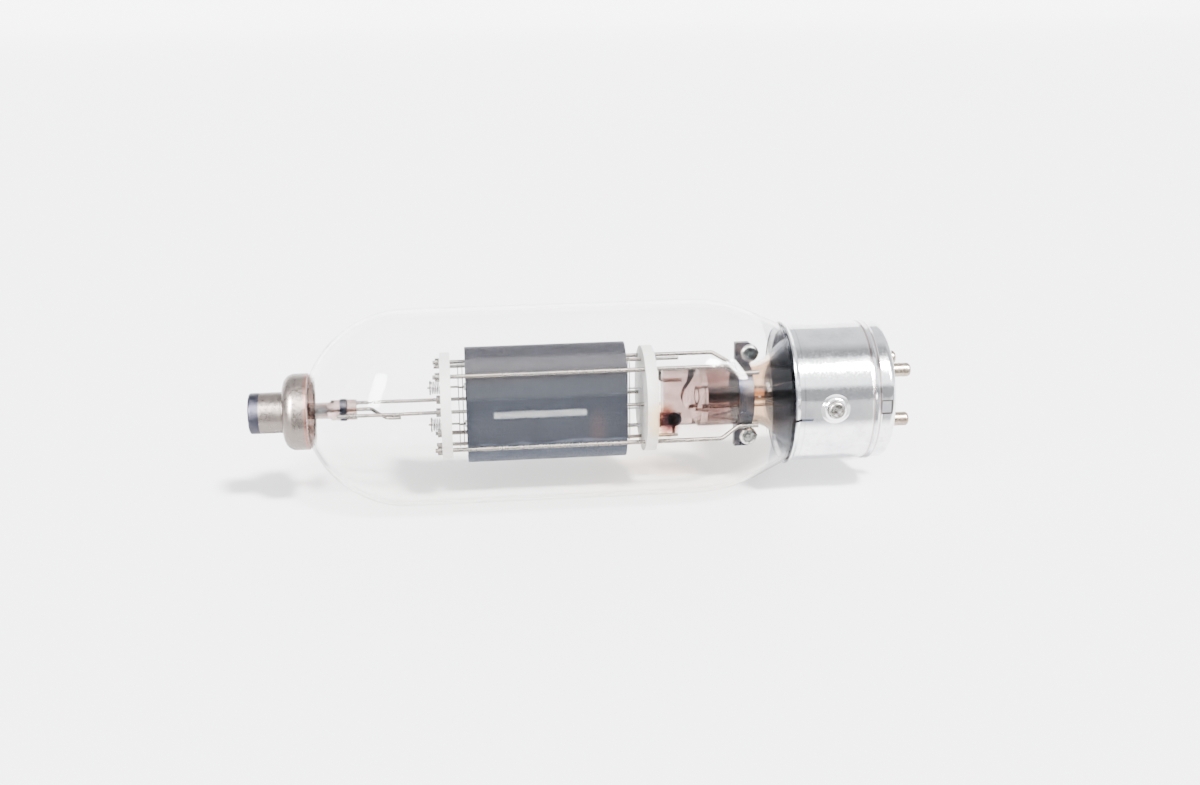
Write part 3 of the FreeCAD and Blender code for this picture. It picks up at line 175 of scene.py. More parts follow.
class Finish:
    """A material under construction: one Principled shader and the nodes that feed it."""

    def __init__(self, name, base, metallic=0.0, roughness=0.5, **sockets):
        self.material = bpy.data.materials.new(name)
        self.material.use_nodes = True
        self.tree = self.material.node_tree
        self.shader = self.tree.nodes["Principled BSDF"]
        self.output = self.tree.nodes["Material Output"]
        self.set("Base Color", (*base[:3], 1.0))
        self.set("Metallic", metallic)
        self.set("Roughness", roughness)
        for socket, value in sockets.items():
            self.set(socket.replace("_", " ").title().replace("Ior", "IOR"), value)

    def set(self, socket, value):
        """Set one of the shader's own sockets to a constant."""
        self.shader.inputs[socket].default_value = value

    def feed(self, socket, source):
        """Link a source to one of the shader's sockets."""
        self.tree.links.new(source, self.shader.inputs[socket])

    def tone(self):
        """Return what feeds the shader's colour."""
        return self.shader.inputs["Base Color"].links[0].from_socket

    def node(self, kind, **values):
        """Add a node and set its properties."""
        made = self.tree.nodes.new(kind)
        for name, value in values.items():
            setattr(made, name, value)
        return made

    def place(self, centre=(0, 0, 0), scale=(1, 1, 1)):
        """Return Object coordinates measured from a centre and stretched."""
        coords = self.node("ShaderNodeTexCoord")
        mapping = self.node("ShaderNodeMapping")
        mapping.inputs["Scale"].default_value = scale
        mapping.inputs["Location"].default_value = [-c * k for c, k in zip(centre, scale)]
        self.tree.links.new(coords.outputs["Object"], mapping.inputs["Vector"])
        return mapping.outputs["Vector"]

    def noise(self, scale, detail=3.0, roughness=0.55, vector=None, distortion=0.0):
        """Return a noise factor; scale is in features per metre."""
        made = self.node("ShaderNodeTexNoise")
        made.inputs["Scale"].default_value = scale
        made.inputs["Detail"].default_value = detail
        made.inputs["Roughness"].default_value = roughness
        made.inputs["Distortion"].default_value = distortion
        self.tree.links.new(vector or self.place(), made.inputs["Vector"])
        return made.outputs["Fac"]

    def ramp(self, factor, stops):
        """Return a colour read from a ramp; a stop is (place, colour)."""
        made = self.node("ShaderNodeValToRGB")
        elements = made.color_ramp.elements
        while len(elements) < len(stops):
            elements.new(0.5)
        for element, (place, tint) in zip(elements, stops):
            element.position = place
            element.color = (*tint[:3], 1.0) if hasattr(tint, "__len__") else (tint, tint, tint, 1.0)
        self.tree.links.new(factor, made.inputs["Fac"])
        return made.outputs["Color"]

    def span(self, factor, low, high, to_low=0.0, to_high=1.0, smooth=True):
        """Return a factor stretched from one range to another and kept inside it."""
        made = self.node("ShaderNodeMapRange")
        made.interpolation_type = "SMOOTHSTEP" if smooth else "LINEAR"
        limits = {"From Min": low, "From Max": high, "To Min": to_low, "To Max": to_high}
        for socket, value in limits.items():
            made.inputs[socket].default_value = value
        self.tree.links.new(factor, made.inputs["Value"])
        return made.outputs["Result"]

    def math(self, operation, first, second=None):
        """Return a sum, product or other combination of two factors."""
        made = self.node("ShaderNodeMath", operation=operation)
        for socket, value in zip(made.inputs, (first, second)):
            if isinstance(value, (int, float)):
                socket.default_value = value
            elif value is not None:
                self.tree.links.new(value, socket)
        return made.outputs["Value"]

    def mix(self, factor, first, second, blend="MIX"):
        """Return a mix of two colours; each is a socket or a plain colour."""
        made = self.node("ShaderNodeMix", data_type="RGBA", blend_type=blend)
        if isinstance(factor, (int, float)):
            made.inputs["Factor"].default_value = factor
        else:
            self.tree.links.new(factor, made.inputs["Factor"])
        for socket, value in ((made.inputs[6], first), (made.inputs[7], second)):
            if hasattr(value, "__len__"):
                socket.default_value = (*value[:3], 1.0)
            else:
                self.tree.links.new(value, socket)
        return made.outputs[2]

    def axis(self, letter, vector=None):
        """Return one coordinate."""
        made = self.node("ShaderNodeSeparateXYZ")
        self.tree.links.new(vector or self.place(), made.inputs["Vector"])
        return made.outputs[letter]

    def distance(self, centre, scale=(1, 1, 1)):
        """Return the distance from a centre, with each axis stretched."""
        made = self.node("ShaderNodeVectorMath", operation="LENGTH")
        self.tree.links.new(self.place(centre, scale), made.inputs[0])
        return made.outputs["Value"]

    def bump(self, height, depth, strength=1.0):
        """Raise the surface by a height factor, at most depth metres."""
        made = self.node("ShaderNodeBump")
        made.inputs["Strength"].default_value = strength
        made.inputs["Distance"].default_value = depth
        self.tree.links.new(height, made.inputs["Height"])
        self.feed("Normal", made.outputs["Normal"])

    def let_lamps_through(self, tint):
        """Let rays from lamps and soft light pass straight through, so that what is inside is lit."""
        rays = self.node("ShaderNodeLightPath")
        clear = self.node("ShaderNodeBsdfTransparent")
        clear.inputs["Color"].default_value = (*tint[:3], 1.0)
        mixed = self.node("ShaderNodeMixShader")
        lamp_ray, soft_ray = rays.outputs["Is Shadow Ray"], rays.outputs["Is Diffuse Ray"]
        shadow_or_soft = self.math("MAXIMUM", lamp_ray, soft_ray)
        self.tree.links.new(shadow_or_soft, mixed.inputs["Fac"])
        self.tree.links.new(self.shader.outputs["BSDF"], mixed.inputs[1])
        self.tree.links.new(clear.outputs["BSDF"], mixed.inputs[2])
        self.tree.links.new(mixed.outputs["Shader"], self.output.inputs["Surface"])


def dress(material, *names):
    """Give CAD nodes a finish."""
    for name in names:
        for slot in NODES[name].material_slots:
            slot.material = material


# ---------------------------------------------------------------- finishes

def clear_glass():
    """Clear blown glass with a smoky film by the stem, the dark stain where the getter was fired, painted
    shade low on the right, on the neck by the base and at the edges, and painted reflection bands on the
    neck.
    """
    tints = settings().glass
    finish = Finish("clear_glass", tints.clear, roughness=0.0, transmission_weight=1.0, ior=1.22)
    along, across, height = (finish.axis(letter) for letter in "XYZ")
    clouds = finish.span(finish.noise(45.0, 4.0), 0.3, 0.72, 0.55, 1.0)
    # Painted shade: low on the right the bulb turns warmer and a little darker, unevenly.
    low_place = finish.span(height, 0.050, 0.012)
    right_place = finish.span(along, -0.03, 0.05, 0.25, 1.0)
    painted_low_shade = finish.math("MULTIPLY", finish.math("MULTIPLY", low_place, right_place), clouds)
    tint = finish.mix(finish.math("MULTIPLY", painted_low_shade, 0.55), tints.clear, tints.warm)
    near = finish.span(across, -0.006, -0.022)
    left_side = finish.span(along, 0.018, 0.026)
    right_side = finish.span(along, 0.049, 0.040)
    top_side = finish.span(height, AXIS_Z + 0.021, AXIS_Z + 0.013)
    low_side = finish.span(height, AXIS_Z - 0.008, AXIS_Z + 0.001)
    film = finish.math("MULTIPLY", finish.math("MULTIPLY", left_side, right_side),
                       finish.math("MULTIPLY", top_side, low_side))
    film = finish.math("MULTIPLY", finish.math("MULTIPLY", film, near), clouds)
    tint = finish.mix(finish.math("MULTIPLY", film, 0.75), tint, tints.film)
    low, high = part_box("getter_cup")
    centre = ((low.x + high.x) / 2 - 0.0044, low.y - 0.014, AXIS_Z + 0.0011)
    spot = finish.distance(centre, (1.0, 0.35, 0.72))
    wobble = finish.math("MULTIPLY", finish.math("SUBTRACT", finish.noise(320.0, 4.0), 0.5), 0.0045)
    spot = finish.math("ADD", spot, wobble)
    halo_centre = (centre[0] - 0.0022, centre[1], centre[2])
    halo_spot = finish.math("ADD", finish.distance(halo_centre, (1.0, 0.35, 0.8)), wobble)
    tint = finish.mix(finish.span(halo_spot, 0.0062, 0.0030, 0.0, 0.8), tint, tints.halo)
    tint = finish.mix(finish.span(spot, 0.0046, 0.0020), tint, tints.red_stain)
    tint = finish.mix(finish.span(spot, 0.0026, 0.0008), tint, tints.stain)
    # Painted shade and painted reflection bands on the front of the neck by the base: dark in the middle
    # where the inside of the base is in shade, lighter at the top and bottom.
    neck_place = finish.span(along, 0.0598, 0.0606)
    neck_place = finish.math("MULTIPLY", neck_place, finish.span(across, 0.0, -0.004))
    neck_place = finish.math("MULTIPLY", neck_place, finish.span(height, AXIS_Z - 0.022, AXIS_Z - 0.017))
    neck_shade_and_reflection = finish.ramp(finish.span(height, AXIS_Z - 0.022, AXIS_Z + 0.022, smooth=False), [
        (0.0, (0.62, 0.64, 0.68)), (0.30, (0.34, 0.37, 0.45)), (0.42, (0.20, 0.16, 0.19)),
        (0.52, (0.10, 0.11, 0.17)), (0.80, (0.12, 0.15, 0.22)), (1.0, (0.60, 0.60, 0.64))])
    tint = finish.mix(finish.math("MULTIPLY", neck_place, 0.85), tint, neck_shade_and_reflection)
    # Painted shade: the bulb turns dark where it is seen edge on, as an outline.
    facing = finish.node("ShaderNodeLayerWeight")
    facing.inputs["Blend"].default_value = 0.5
    rim = finish.span(facing.outputs["Facing"], 0.72, 1.0, 0.0, 1.0)
    tint = finish.mix(rim, tint, tints.edge)
    finish.feed("Base Color", tint)
    finish.let_lamps_through((0.93, 0.925, 0.915))
    return finish.material


def stem_glass():
    """Lead glass of the stem: smoky at the press, amber at the flare, and darkened inside the base as
    painted shade.
    """
    tints = settings().glass
    finish = Finish("stem_glass", tints.stem, roughness=0.03, transmission_weight=1.0, ior=1.45)
    along = finish.axis("X")
    clouds = finish.span(finish.noise(150.0, 4.0), 0.3, 0.75)
    smoky = finish.mix(clouds, tints.stem, tints.film)
    tint = finish.mix(finish.span(along, 0.052, 0.058), smoky, tints.amber)
    # Painted shade: the stem glass turns dark inside the base.
    tint = finish.mix(finish.span(along, 0.064, 0.068), tint, (0.10, 0.11, 0.15))
    finish.feed("Base Color", tint)
    finish.let_lamps_through((0.85, 0.76, 0.70))
    return finish.material


def metal(name, base, roughness, worn=None, grain=900.0, spread=0.08, wear=0.25):
    """Metal with an uneven finish: its colour drifts to worn, and its roughness by spread."""
    finish = Finish(name, base, metallic=1.0, roughness=roughness)
    patches = finish.noise(140.0, 5.0, 0.6)
    fine = finish.noise(grain, 3.0, 0.6)
    if worn is not None:
        share = finish.span(patches, 0.62 - wear, 0.72, 0.0, 0.9)
        finish.feed("Base Color", finish.mix(share, base, worn))
    rough = finish.span(finish.math("ADD", patches, fine), 0.7, 1.3, roughness - spread,
                        roughness + spread)
    finish.feed("Roughness", rough)
    finish.bump(fine, 0.00002, 0.4)
    return finish


def cap_nickel():
    """Dull nickel plate that has worn down to copper along the skirt's rim."""
    tints = settings().metal
    finish = metal("cap_nickel", tints.cap, 0.33, worn=(0.14, 0.115, 0.10), spread=0.08)
    rim_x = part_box("cap_skirt")[1].x
    rim = finish.span(finish.axis("X"), rim_x - 1.2 * MM, rim_x - 0.5 * MM)
    finish.feed("Base Color", finish.mix(rim, finish.tone(), tints.copper))
    return finish.material


def shell_metal():
    """Polished aluminium with fine scratches, darker patches towards the bottom, a dark rim edge, painted
    shade round the crimp and coppery lines in the groove.
    """
    tints = settings().metal
    finish = metal("base_metal", tints.shell, 0.12, worn=(0.56, 0.56, 0.60), grain=1300.0, spread=0.05)
    rim_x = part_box("base_shell")[0].x
    tone = finish.tone()
    along = finish.axis("X")
    height = finish.axis("Z")
    scratches = finish.noise(1.0, 4.0, 0.7, vector=finish.place(scale=(90.0, 260.0, 1500.0)))
    mottled = finish.noise(420.0, 6.0, 0.72)
    # Darker patches, more of them towards the bottom.
    low_place = finish.span(height, AXIS_Z + 0.002, AXIS_Z - 0.010, 0.25, 0.9)
    low_dark_patches = finish.math("MULTIPLY", finish.span(mottled, 0.50, 0.66), low_place)
    tone = finish.mix(finish.math("MULTIPLY", low_dark_patches, 0.55), tone, (0.40, 0.40, 0.42))
    tone = finish.mix(finish.span(scratches, 0.60, 0.74, 0.0, 0.30), tone, (0.42, 0.42, 0.45))
    for place in (GROOVE_X - GROOVE_HALF, GROOVE_X + GROOVE_HALF):
        off = finish.math("ABSOLUTE", finish.math("SUBTRACT", along, place))
        tone = finish.mix(finish.span(off, 0.00042, 0.00012, 0.0, 0.8), tone, (0.32, 0.22, 0.20))
    off = finish.math("ABSOLUTE", finish.math("SUBTRACT", along, rim_x + 3.6 * MM))
    tone = finish.mix(finish.span(off, 0.0004, 0.0001, 0.0, 0.45), tone, (0.40, 0.40, 0.42))
    tone = finish.mix(finish.span(along, rim_x + 0.5 * MM, rim_x + 0.1 * MM), tone, (0.05, 0.045, 0.05))
    # Painted shade: a dark line round the crimp on the front, where shade falls at the edges of its
    # recess.
    beside = finish.math("ABSOLUTE", finish.math("SUBTRACT", along, CRIMP_X))
    beside = finish.math("SUBTRACT", beside, CRIMP_LENGTH / 2)
    above = finish.math("ABSOLUTE", finish.math("SUBTRACT", height, AXIS_Z))
    above = finish.math("SUBTRACT", above, CRIMP_HEIGHT / 2)
    crimp_shade_line = finish.math("ABSOLUTE", finish.math("MAXIMUM", beside, above))
    front = finish.span(finish.axis("Y"), -0.010, -0.018)
    crimp_shade_line = finish.math("MULTIPLY", finish.span(crimp_shade_line, 0.00040, 0.00012), front)
    tone = finish.mix(crimp_shade_line, tone, (0.16, 0.14, 0.13))
    finish.feed("Base Color", tone)
    return finish


def screw_metal(name, centre):
    """Bright plated screw with painted shade, dark and uneven, over its recess; centre is on the screw's
    axis.
    """
    finish = Finish(f"screw_metal_{name}", (0.6, 0.6, 0.59), metallic=1.0, roughness=0.16)
    radial = finish.distance(centre, (1.0, 0.0, 1.0))
    # Painted shade: the middle of the head, round the recess, is dark with lighter specks.
    shade_flecks = finish.ramp(finish.noise(1100.0, 4.0, 0.7),
                         [(0.42, (0.012, 0.015, 0.016)), (0.60, (0.42, 0.44, 0.43))])
    tone = finish.mix(finish.span(radial, 0.00245, 0.00215), (0.62, 0.60, 0.58), shade_flecks)
    finish.feed("Base Color", tone)
    finish.bump(finish.noise(900.0, 3.0), 0.0003, 0.8)
    return finish.material


def bayonet_metal():
    """Dull rivet metal with painted shade in its bore."""
    low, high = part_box("bayonet_pin")
    finish = metal("bayonet_metal", (0.42, 0.40, 0.38), 0.28, worn=(0.28, 0.26, 0.24))
    tone = finish.tone()
    radial = finish.distance(((low.x + high.x) / 2, 0, (low.z + high.z) / 2), (1.0, 0.0, 1.0))
    # Painted shade: the bore in the middle of the pin is dark with lighter specks.
    shade_flecks = finish.ramp(finish.noise(900.0, 4.0, 0.7),
                         [(0.40, (0.10, 0.09, 0.08)), (0.62, (0.45, 0.44, 0.42))])
    finish.feed("Base Color", finish.mix(finish.span(radial, 0.0022, 0.0020), tone, shade_flecks))
    return finish.material


def cement(name, dark, light):
    """Fired basing cement with a coarse grain."""
    finish = Finish(name, light, roughness=0.85)
    grain = finish.noise(900.0, 5.0, 0.7)
    finish.feed("Base Color", finish.ramp(grain, [(0.3, dark), (0.7, light)]))
    finish.bump(grain, 0.0002, 0.7)
    return finish.material


def dress_graphite():
    """Moulded graphite: rough along the top, where painted top light also makes it lighter, smooth below,
    and with a painted reflection of the floor as a lighter band at the bottom.
    """
    tints = settings().carbon
    finish = Finish("graphite", tints.graphite, roughness=0.6)
    finish.set("Specular IOR Level", 0.12)
    grain = finish.noise(1900.0, 6.0, 0.72)
    pits = finish.noise(520.0, 4.0, 0.6)
    low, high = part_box("anode")
    rise = high.z - low.z
    sway = finish.math("MULTIPLY", finish.math("SUBTRACT", finish.noise(60.0, 2.0), 0.5), 0.004)
    height = finish.math("ADD", finish.axis("Z"), sway)
    # Rough graphite along the top, lighter partly as painted top light.
    top = finish.span(height, low.z + 0.745 * rise, low.z + 0.775 * rise)
    # Painted reflection: a lighter band along the bottom stands for the floor mirrored there.
    bottom = finish.span(height, low.z + 0.225 * rise, low.z + 0.205 * rise)
    smooth_tone = finish.ramp(grain, [(0.3, tints.graphite), (0.75, (0.012, 0.0145, 0.022))])
    coarse = finish.noise(1500.0, 3.0, 0.7)
    dust_and_top_light_tone = finish.ramp(coarse, [(0.45, (0.001, 0.0015, 0.003)), (0.56, tints.graphite_dust_and_top_light)])
    floor_reflection_tone = finish.ramp(coarse, [(0.35, (0.028, 0.034, 0.052)), (0.75, (0.062, 0.070, 0.092))])
    tone = finish.mix(top, smooth_tone, dust_and_top_light_tone)
    tone = finish.mix(bottom, tone, floor_reflection_tone)
    stain = finish.distance((high.x - 0.010, low.y, low.z + 0.30 * rise), (1.9, 0.3, 0.8))
    stain = finish.math("ADD", stain, finish.math("MULTIPLY", coarse, 0.006))
    tone = finish.mix(finish.span(stain, 0.011, 0.004, 0.0, 0.10), tone, (0.11, 0.05, 0.035))
    finish.feed("Base Color", tone)
    finish.bump(finish.math("ADD", grain, pits), 0.00015, 0.7)
    return finish.material


def white_ceramic():
    """Unglazed ceramic with a fine grain and a little soot."""
    tints = settings().carbon
    finish = Finish("white_ceramic", tints.ceramic, roughness=0.55, subsurface_weight=0.25)
    finish.shader.inputs["Subsurface Radius"].default_value = (0.0015, 0.0013, 0.0011)
    grain = finish.noise(1400.0, 4.0)
    soot = finish.span(finish.noise(210.0, 4.0), 0.56, 0.75, 0.0, 0.35)
    finish.feed("Base Color", finish.mix(soot, tints.ceramic, (0.36, 0.34, 0.34)))
    finish.bump(grain, 0.00004, 0.5)
    return finish.material


# ---------------------------------------------------------------- modelling helpers

def begin(adder, name, **options):
    """Add a primitive with nothing else selected and return its object."""
    bpy.ops.object.select_all(action="DESELECT")
    adder(**options)
    made = bpy.context.active_object
    made.name = name
    bpy.ops.object.transform_apply(location=True, rotation=True, scale=True)
    return made


def pick(test, kind="FACE"):
    """Select, in edit mode, the faces or edges whose middle and normal pass a test."""
    bpy.ops.mesh.select_mode(type=kind)
    bpy.ops.mesh.select_all(action="DESELECT")
    mesh = bmesh.from_edit_mesh(bpy.context.edit_object.data)
    mesh.normal_update()
    if kind == "FACE":
        for face in mesh.faces:
            face.select_set(test(face.calc_center_median(), face.normal))
    else:
        for edge in mesh.edges:
            edge.select_set(test((edge.verts[0].co + edge.verts[1].co) / 2, None))
    bmesh.update_edit_mesh(bpy.context.edit_object.data)


def step(shift, grow=1.0):
    """Extrude what is selected by shift, then resize it in X and Z about its own middle."""
    bpy.ops.mesh.extrude_region_move(TRANSFORM_OT_translate={"value": shift})
    if grow != 1.0:
        bpy.ops.transform.resize(value=(grow, 1.0, grow))


def complete(made, material, angle=35.0):
    """Leave edit mode with the faces outwards, shade the piece and give it a finish."""
    bpy.ops.mesh.select_all(action="SELECT")
    bpy.ops.mesh.normals_make_consistent(inside=False)
    bpy.ops.object.mode_set(mode="OBJECT")
    bpy.ops.object.shade_smooth_by_angle(angle=math.radians(angle))
    made.data.materials.append(material)


def soften(name, width):
    """Round the sharp edges of a CAD node a little."""
    edge = NODES[name].modifiers.new("soft_edge", "BEVEL")
    edge.width = width
    edge.segments = 2
    edge.limit_method = "ANGLE"
    edge.angle_limit = math.radians(50)


# ---------------------------------------------------------------- operators

class TubeOperator:
    """Shared options of the tube's operators."""
    bl_options = {"REGISTER", "UNDO"}


class TUBE_OT_bulb(TubeOperator, bpy.types.Operator):
    """Finish the glass bulb"""
    bl_idname = "tube.bulb"
    bl_label = "Bulb"

    def execute(self, context):
        dress(clear_glass(), "glass_envelope")
        return {"FINISHED"}


class TUBE_OT_stem(TubeOperator, bpy.types.Operator):
    """Finish the stem, the exhaust tube and the top seal"""
    bl_idname = "tube.stem"
    bl_label = "Stem and seals"

    def execute(self, context):
        dress(stem_glass(), "stem_glass", "top_seal", "exhaust_tube")
        return {"FINISHED"}


class TUBE_OT_cap(TubeOperator, bpy.types.Operator):
    """Finish the plate cap, its skirt, its tinned end and its cement"""
    bl_idname = "tube.cap"
    bl_label = "Plate cap"

    def execute(self, context):
        tints = settings().metal
        dress(cap_nickel(), "plate_cap", "cap_skirt")
        dress(metal("tinned_end", tints.tinned, 0.42, worn=(0.05, 0.048, 0.058)).material, "cap_solder")
        dress(cement("cap_cement", (0.10, 0.055, 0.05), (0.24, 0.17, 0.155)), "cap_cement")
        dress(cement("base_cement", (0.018, 0.022, 0.035), (0.05, 0.06, 0.085)), "base_cement")
        return {"FINISHED"}


class TUBE_OT_anode(TubeOperator, bpy.types.Operator):
    """Finish the graphite anode"""
    bl_idname = "tube.anode"
    bl_label = "Anode"

    def execute(self, context):
        dress(dress_graphite(), "anode")
        soften("anode", 0.5 * MM)
        return {"FINISHED"}


class TUBE_OT_ceramics(TubeOperator, bpy.types.Operator):
    """Finish the ceramic discs"""
    bl_idname = "tube.ceramics"
    bl_label = "Ceramics"

    def execute(self, context):
        dress(white_ceramic(), "upper_ceramic", "lower_ceramic")
        soften("upper_ceramic", 0.3 * MM)
        soften("lower_ceramic", 0.3 * MM)
        insulator = Finish("insulator", (0.70, 0.66, 0.58), roughness=0.5)
        grain = insulator.noise(700.0, 4.0)
        tone = insulator.ramp(grain, [(0.3, (0.60, 0.56, 0.48)), (0.7, (0.78, 0.74, 0.67))])
        insulator.feed("Base Color", tone)
        insulator.bump(grain, 0.00005, 0.5)
        dress(insulator.material, "base_insulator")
        return {"FINISHED"}


class TUBE_OT_wires(TubeOperator, bpy.types.Operator):
    """Finish the rods, wires and small metal pieces"""
    bl_idname = "tube.wires"
    bl_label = "Wires"

    def execute(self, context):
        tints = settings().metal
        nickel = metal("nickel_wire", tints.nickel, 0.28, worn=(0.16, 0.13, 0.11), grain=1500.0).material
        dark = metal("dark_nickel", tints.dark_nickel, 0.34, worn=(0.06, 0.048, 0.045)).material
        tungsten = metal("tungsten_wire", (0.14, 0.13, 0.13), 0.45).material
        spring = metal("spring_wire", (0.055, 0.052, 0.055), 0.5).material
        slots = {"nickel_wire": nickel, "dark_nickel": dark, "tungsten_wire": tungsten,
                 "spring_wire": spring, "getter_metal": dark, "sleeve": dark}
        for part in frame["record"]["subparts"]:
            if part["material_slot"] in slots:
                dress(slots[part["material_slot"]], part["node"])
        return {"FINISHED"}


class TUBE_OT_base(TubeOperator, bpy.types.Operator):
    """Finish the base shell, its bayonet pin, its pins and their solder"""
    bl_idname = "tube.base_shell"
    bl_label = "Base"

    def execute(self, context):
        dress(shell_metal().material, "base_shell")
        pins = metal("pin_metal", (0.30, 0.25, 0.20), 0.3, worn=(0.14, 0.09, 0.07), spread=0.1)
        names = [name for name in NODES if name.startswith("base_pin_")]
        dress(pins.material, *names)
        dress(bayonet_metal(), "bayonet_pin")
        dress(metal("solder", (0.30, 0.30, 0.31), 0.4).material, "pin_solder")
        return {"FINISHED"}


def make_screw(name, material):
    """Model a clamp screw with a domed head towards -Y, a round recess in it, and a threaded shank."""
    low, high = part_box(f"clamp_screw_{name}")
    x, z = (low.x + high.x) / 2, (low.z + high.z) / 2
    shank, head = 1.35 * MM, 3.1 * MM
    pitch, root = 0.7 * MM, 0.84
    head_back = low.y + 1.9 * MM
    length = 0.5 * MM
    made = begin(bpy.ops.mesh.primitive_cylinder_add, f"clamp_screw_{name}_threaded", vertices=40,
                 radius=shank, depth=length, location=(x, head_back + length / 2, z),
                 rotation=(math.pi / 2, 0, 0))
    bpy.ops.object.mode_set(mode="EDIT")
    pick(lambda place, normal: normal.y > 0.9)
    for _ in range(int((high.y - head_back - length) / pitch)):
        step((0, pitch / 2, 0), root)
        step((0, pitch / 2, 0), 1 / root)
    step((0, 0.15 * MM, 0), 0.8)
    pick(lambda place, normal: normal.y < -0.9)
    step((0, 0, 0), head / shank)
    step((0, -0.9 * MM, 0))
    step((0, -0.45 * MM, 0), 0.90)
    step((0, -0.28 * MM, 0), 0.86)
    step((0, -0.10 * MM, 0), 0.82)
    bpy.ops.mesh.inset(thickness=0.22 * MM)
    step((0, 0.75 * MM, 0), 0.92)
    bpy.ops.mesh.inset(thickness=0.55 * MM)
    step((0, -0.35 * MM, 0), 0.8)
    complete(made, material)
    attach(made, "tube")
    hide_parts(f"clamp_screw_{name}")


class TUBE_OT_screws(TubeOperator, bpy.types.Operator):
    """Model the two clamp screws with their threads and domed heads"""
    bl_idname = "tube.screws"
    bl_label = "Clamp screws"

    def execute(self, context):
        for name in ("upper", "lower"):
            make_screw(name, screw_metal(name, middle(f"clamp_screw_{name}")))
        return {"FINISHED"}


class TUBE_OT_boss(TubeOperator, bpy.types.Operator):
    """Model the raised ring that is pressed into the shell round the bayonet pin"""
    bl_idname = "tube.boss"
    bl_label = "Bayonet boss"

    def execute(self, context):
        pin_low, pin_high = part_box("bayonet_pin")
        radius = settings().metal.shell_radius
        x, z = (pin_low.x + pin_high.x) / 2, (pin_low.z + pin_high.z) / 2
        start = (pin_high.x - pin_low.x) / 2 + 0.05 * MM
        made = begin(bpy.ops.mesh.primitive_circle_add, "bayonet_boss", vertices=64, radius=start,
                     location=(x, -radius - 0.35 * MM, z), rotation=(math.pi / 2, 0, 0))
        bpy.ops.object.mode_set(mode="EDIT")
        pick(lambda place, normal: True, kind="EDGE")
        profile = [(0.10, 0.30), (0.18, 0.08), (0.15, -0.22), (0.25, -0.32), (0.60, -0.12), (0.90, -0.06),
                   (0.60, -0.30)]
        reach = start
        for out, down in profile:
            bpy.ops.mesh.extrude_region_move()
            wider = reach + out * MM
            bpy.ops.transform.translate(value=(0, down * MM * -1, 0))
            bpy.ops.transform.resize(value=(wider / reach, 1.0, wider / reach))
            reach = wider
        bpy.ops.object.mode_set(mode="OBJECT")
        for vertex in made.data.vertices:
            vertex.co.y += radius - math.sqrt(radius ** 2 - (vertex.co.z - z) ** 2)
        bpy.ops.object.mode_set(mode="EDIT")
        complete(made, bpy.data.materials["base_metal"], 60.0)
        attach(made, "tube")
        return {"FINISHED"}


def make_filament(name, material):
    """Model a hairpin filament in one fixed shape; on the real tube it stretches as its hook is pulled."""
    low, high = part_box(f"filament_{name}")
    radius = settings().metal.filament_radius
    crown = 0.95 * MM
    centre_z = (low.z + high.z) / 2
    spread = (high.z - low.z) / 2 - radius
    bend_x = low.x + radius + crown
    steps = 16
    run = (bend_x - high.x) / steps
    slant = (crown - spread) / steps
    made = begin(bpy.ops.mesh.primitive_circle_add, f"filament_{name}_wire", vertices=10, radius=radius,
                 location=(high.x, 0, centre_z + spread), rotation=(0, math.pi / 2, 0))
    bpy.ops.object.mode_set(mode="EDIT")
    pick(lambda place, normal: True, kind="EDGE")
    for _ in range(steps):
        bpy.ops.mesh.extrude_region_move(TRANSFORM_OT_translate={"value": (run, 0, slant)})
    bpy.ops.mesh.spin(steps=12, angle=-math.pi, center=(bend_x, 0, centre_z), axis=(0, 1, 0))
    for _ in range(steps):
        bpy.ops.mesh.extrude_region_move(TRANSFORM_OT_translate={"value": (-run, 0, slant)})
    bpy.ops.mesh.select_all(action="SELECT")
    bpy.ops.mesh.fill_holes(sides=12)
    complete(made, material)
    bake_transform(made)
    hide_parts(f"filament_{name}")


def make_spring(name, material):
    """Model a tension spring that stretches between its ceramic and its retainer."""
    low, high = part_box(f"tension_spring_{name}")
    wire = settings().metal.spring_wire
    turns = 3.5
    length = high.x - low.x - 2 * wire
    reach = (high.y - low.y) / 2 - wire
    made = begin(bpy.ops.mesh.primitive_circle_add, f"tension_spring_{name}_coil", vertices=8, radius=wire,
                 location=(low.x + wire, 0, reach), rotation=(math.pi / 2, 0, 0))
    turn = made.modifiers.new("coil", "SCREW")
    turn.axis = "X"
    turn.angle = math.tau * turns
    turn.screw_offset = length
    turn.steps = turn.render_steps = 84
    bpy.ops.object.modifier_apply(modifier=turn.name)
    bpy.ops.object.mode_set(mode="EDIT")
    bpy.ops.mesh.select_all(action="SELECT")
    bpy.ops.transform.translate(value=(0, 0, (low.z + high.z) / 2))
    bpy.ops.mesh.fill_holes(sides=10)
    complete(made, material, 60.0)
    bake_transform(made)
    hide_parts(f"tension_spring_{name}")


class TUBE_OT_filaments(TubeOperator, bpy.types.Operator):
    """Model the two filaments and the springs that keep them tight"""
    bl_idname = "tube.filaments"
    bl_label = "Filaments and springs"

    def execute(self, context):
        for name in ("upper", "lower"):
            make_filament(name, bpy.data.materials["tungsten_wire"])
            make_spring(name, bpy.data.materials["spring_wire"])
        return {"FINISHED"}


class TUBE_OT_stage(TubeOperator, bpy.types.Operator):
    """Set up the floor, the light and the camera"""
    bl_idname = "tube.stage"
    bl_label = "Stage"

    def execute(self, context):
        make_floor()
        make_lights()
        make_camera()
        return {"FINISHED"}


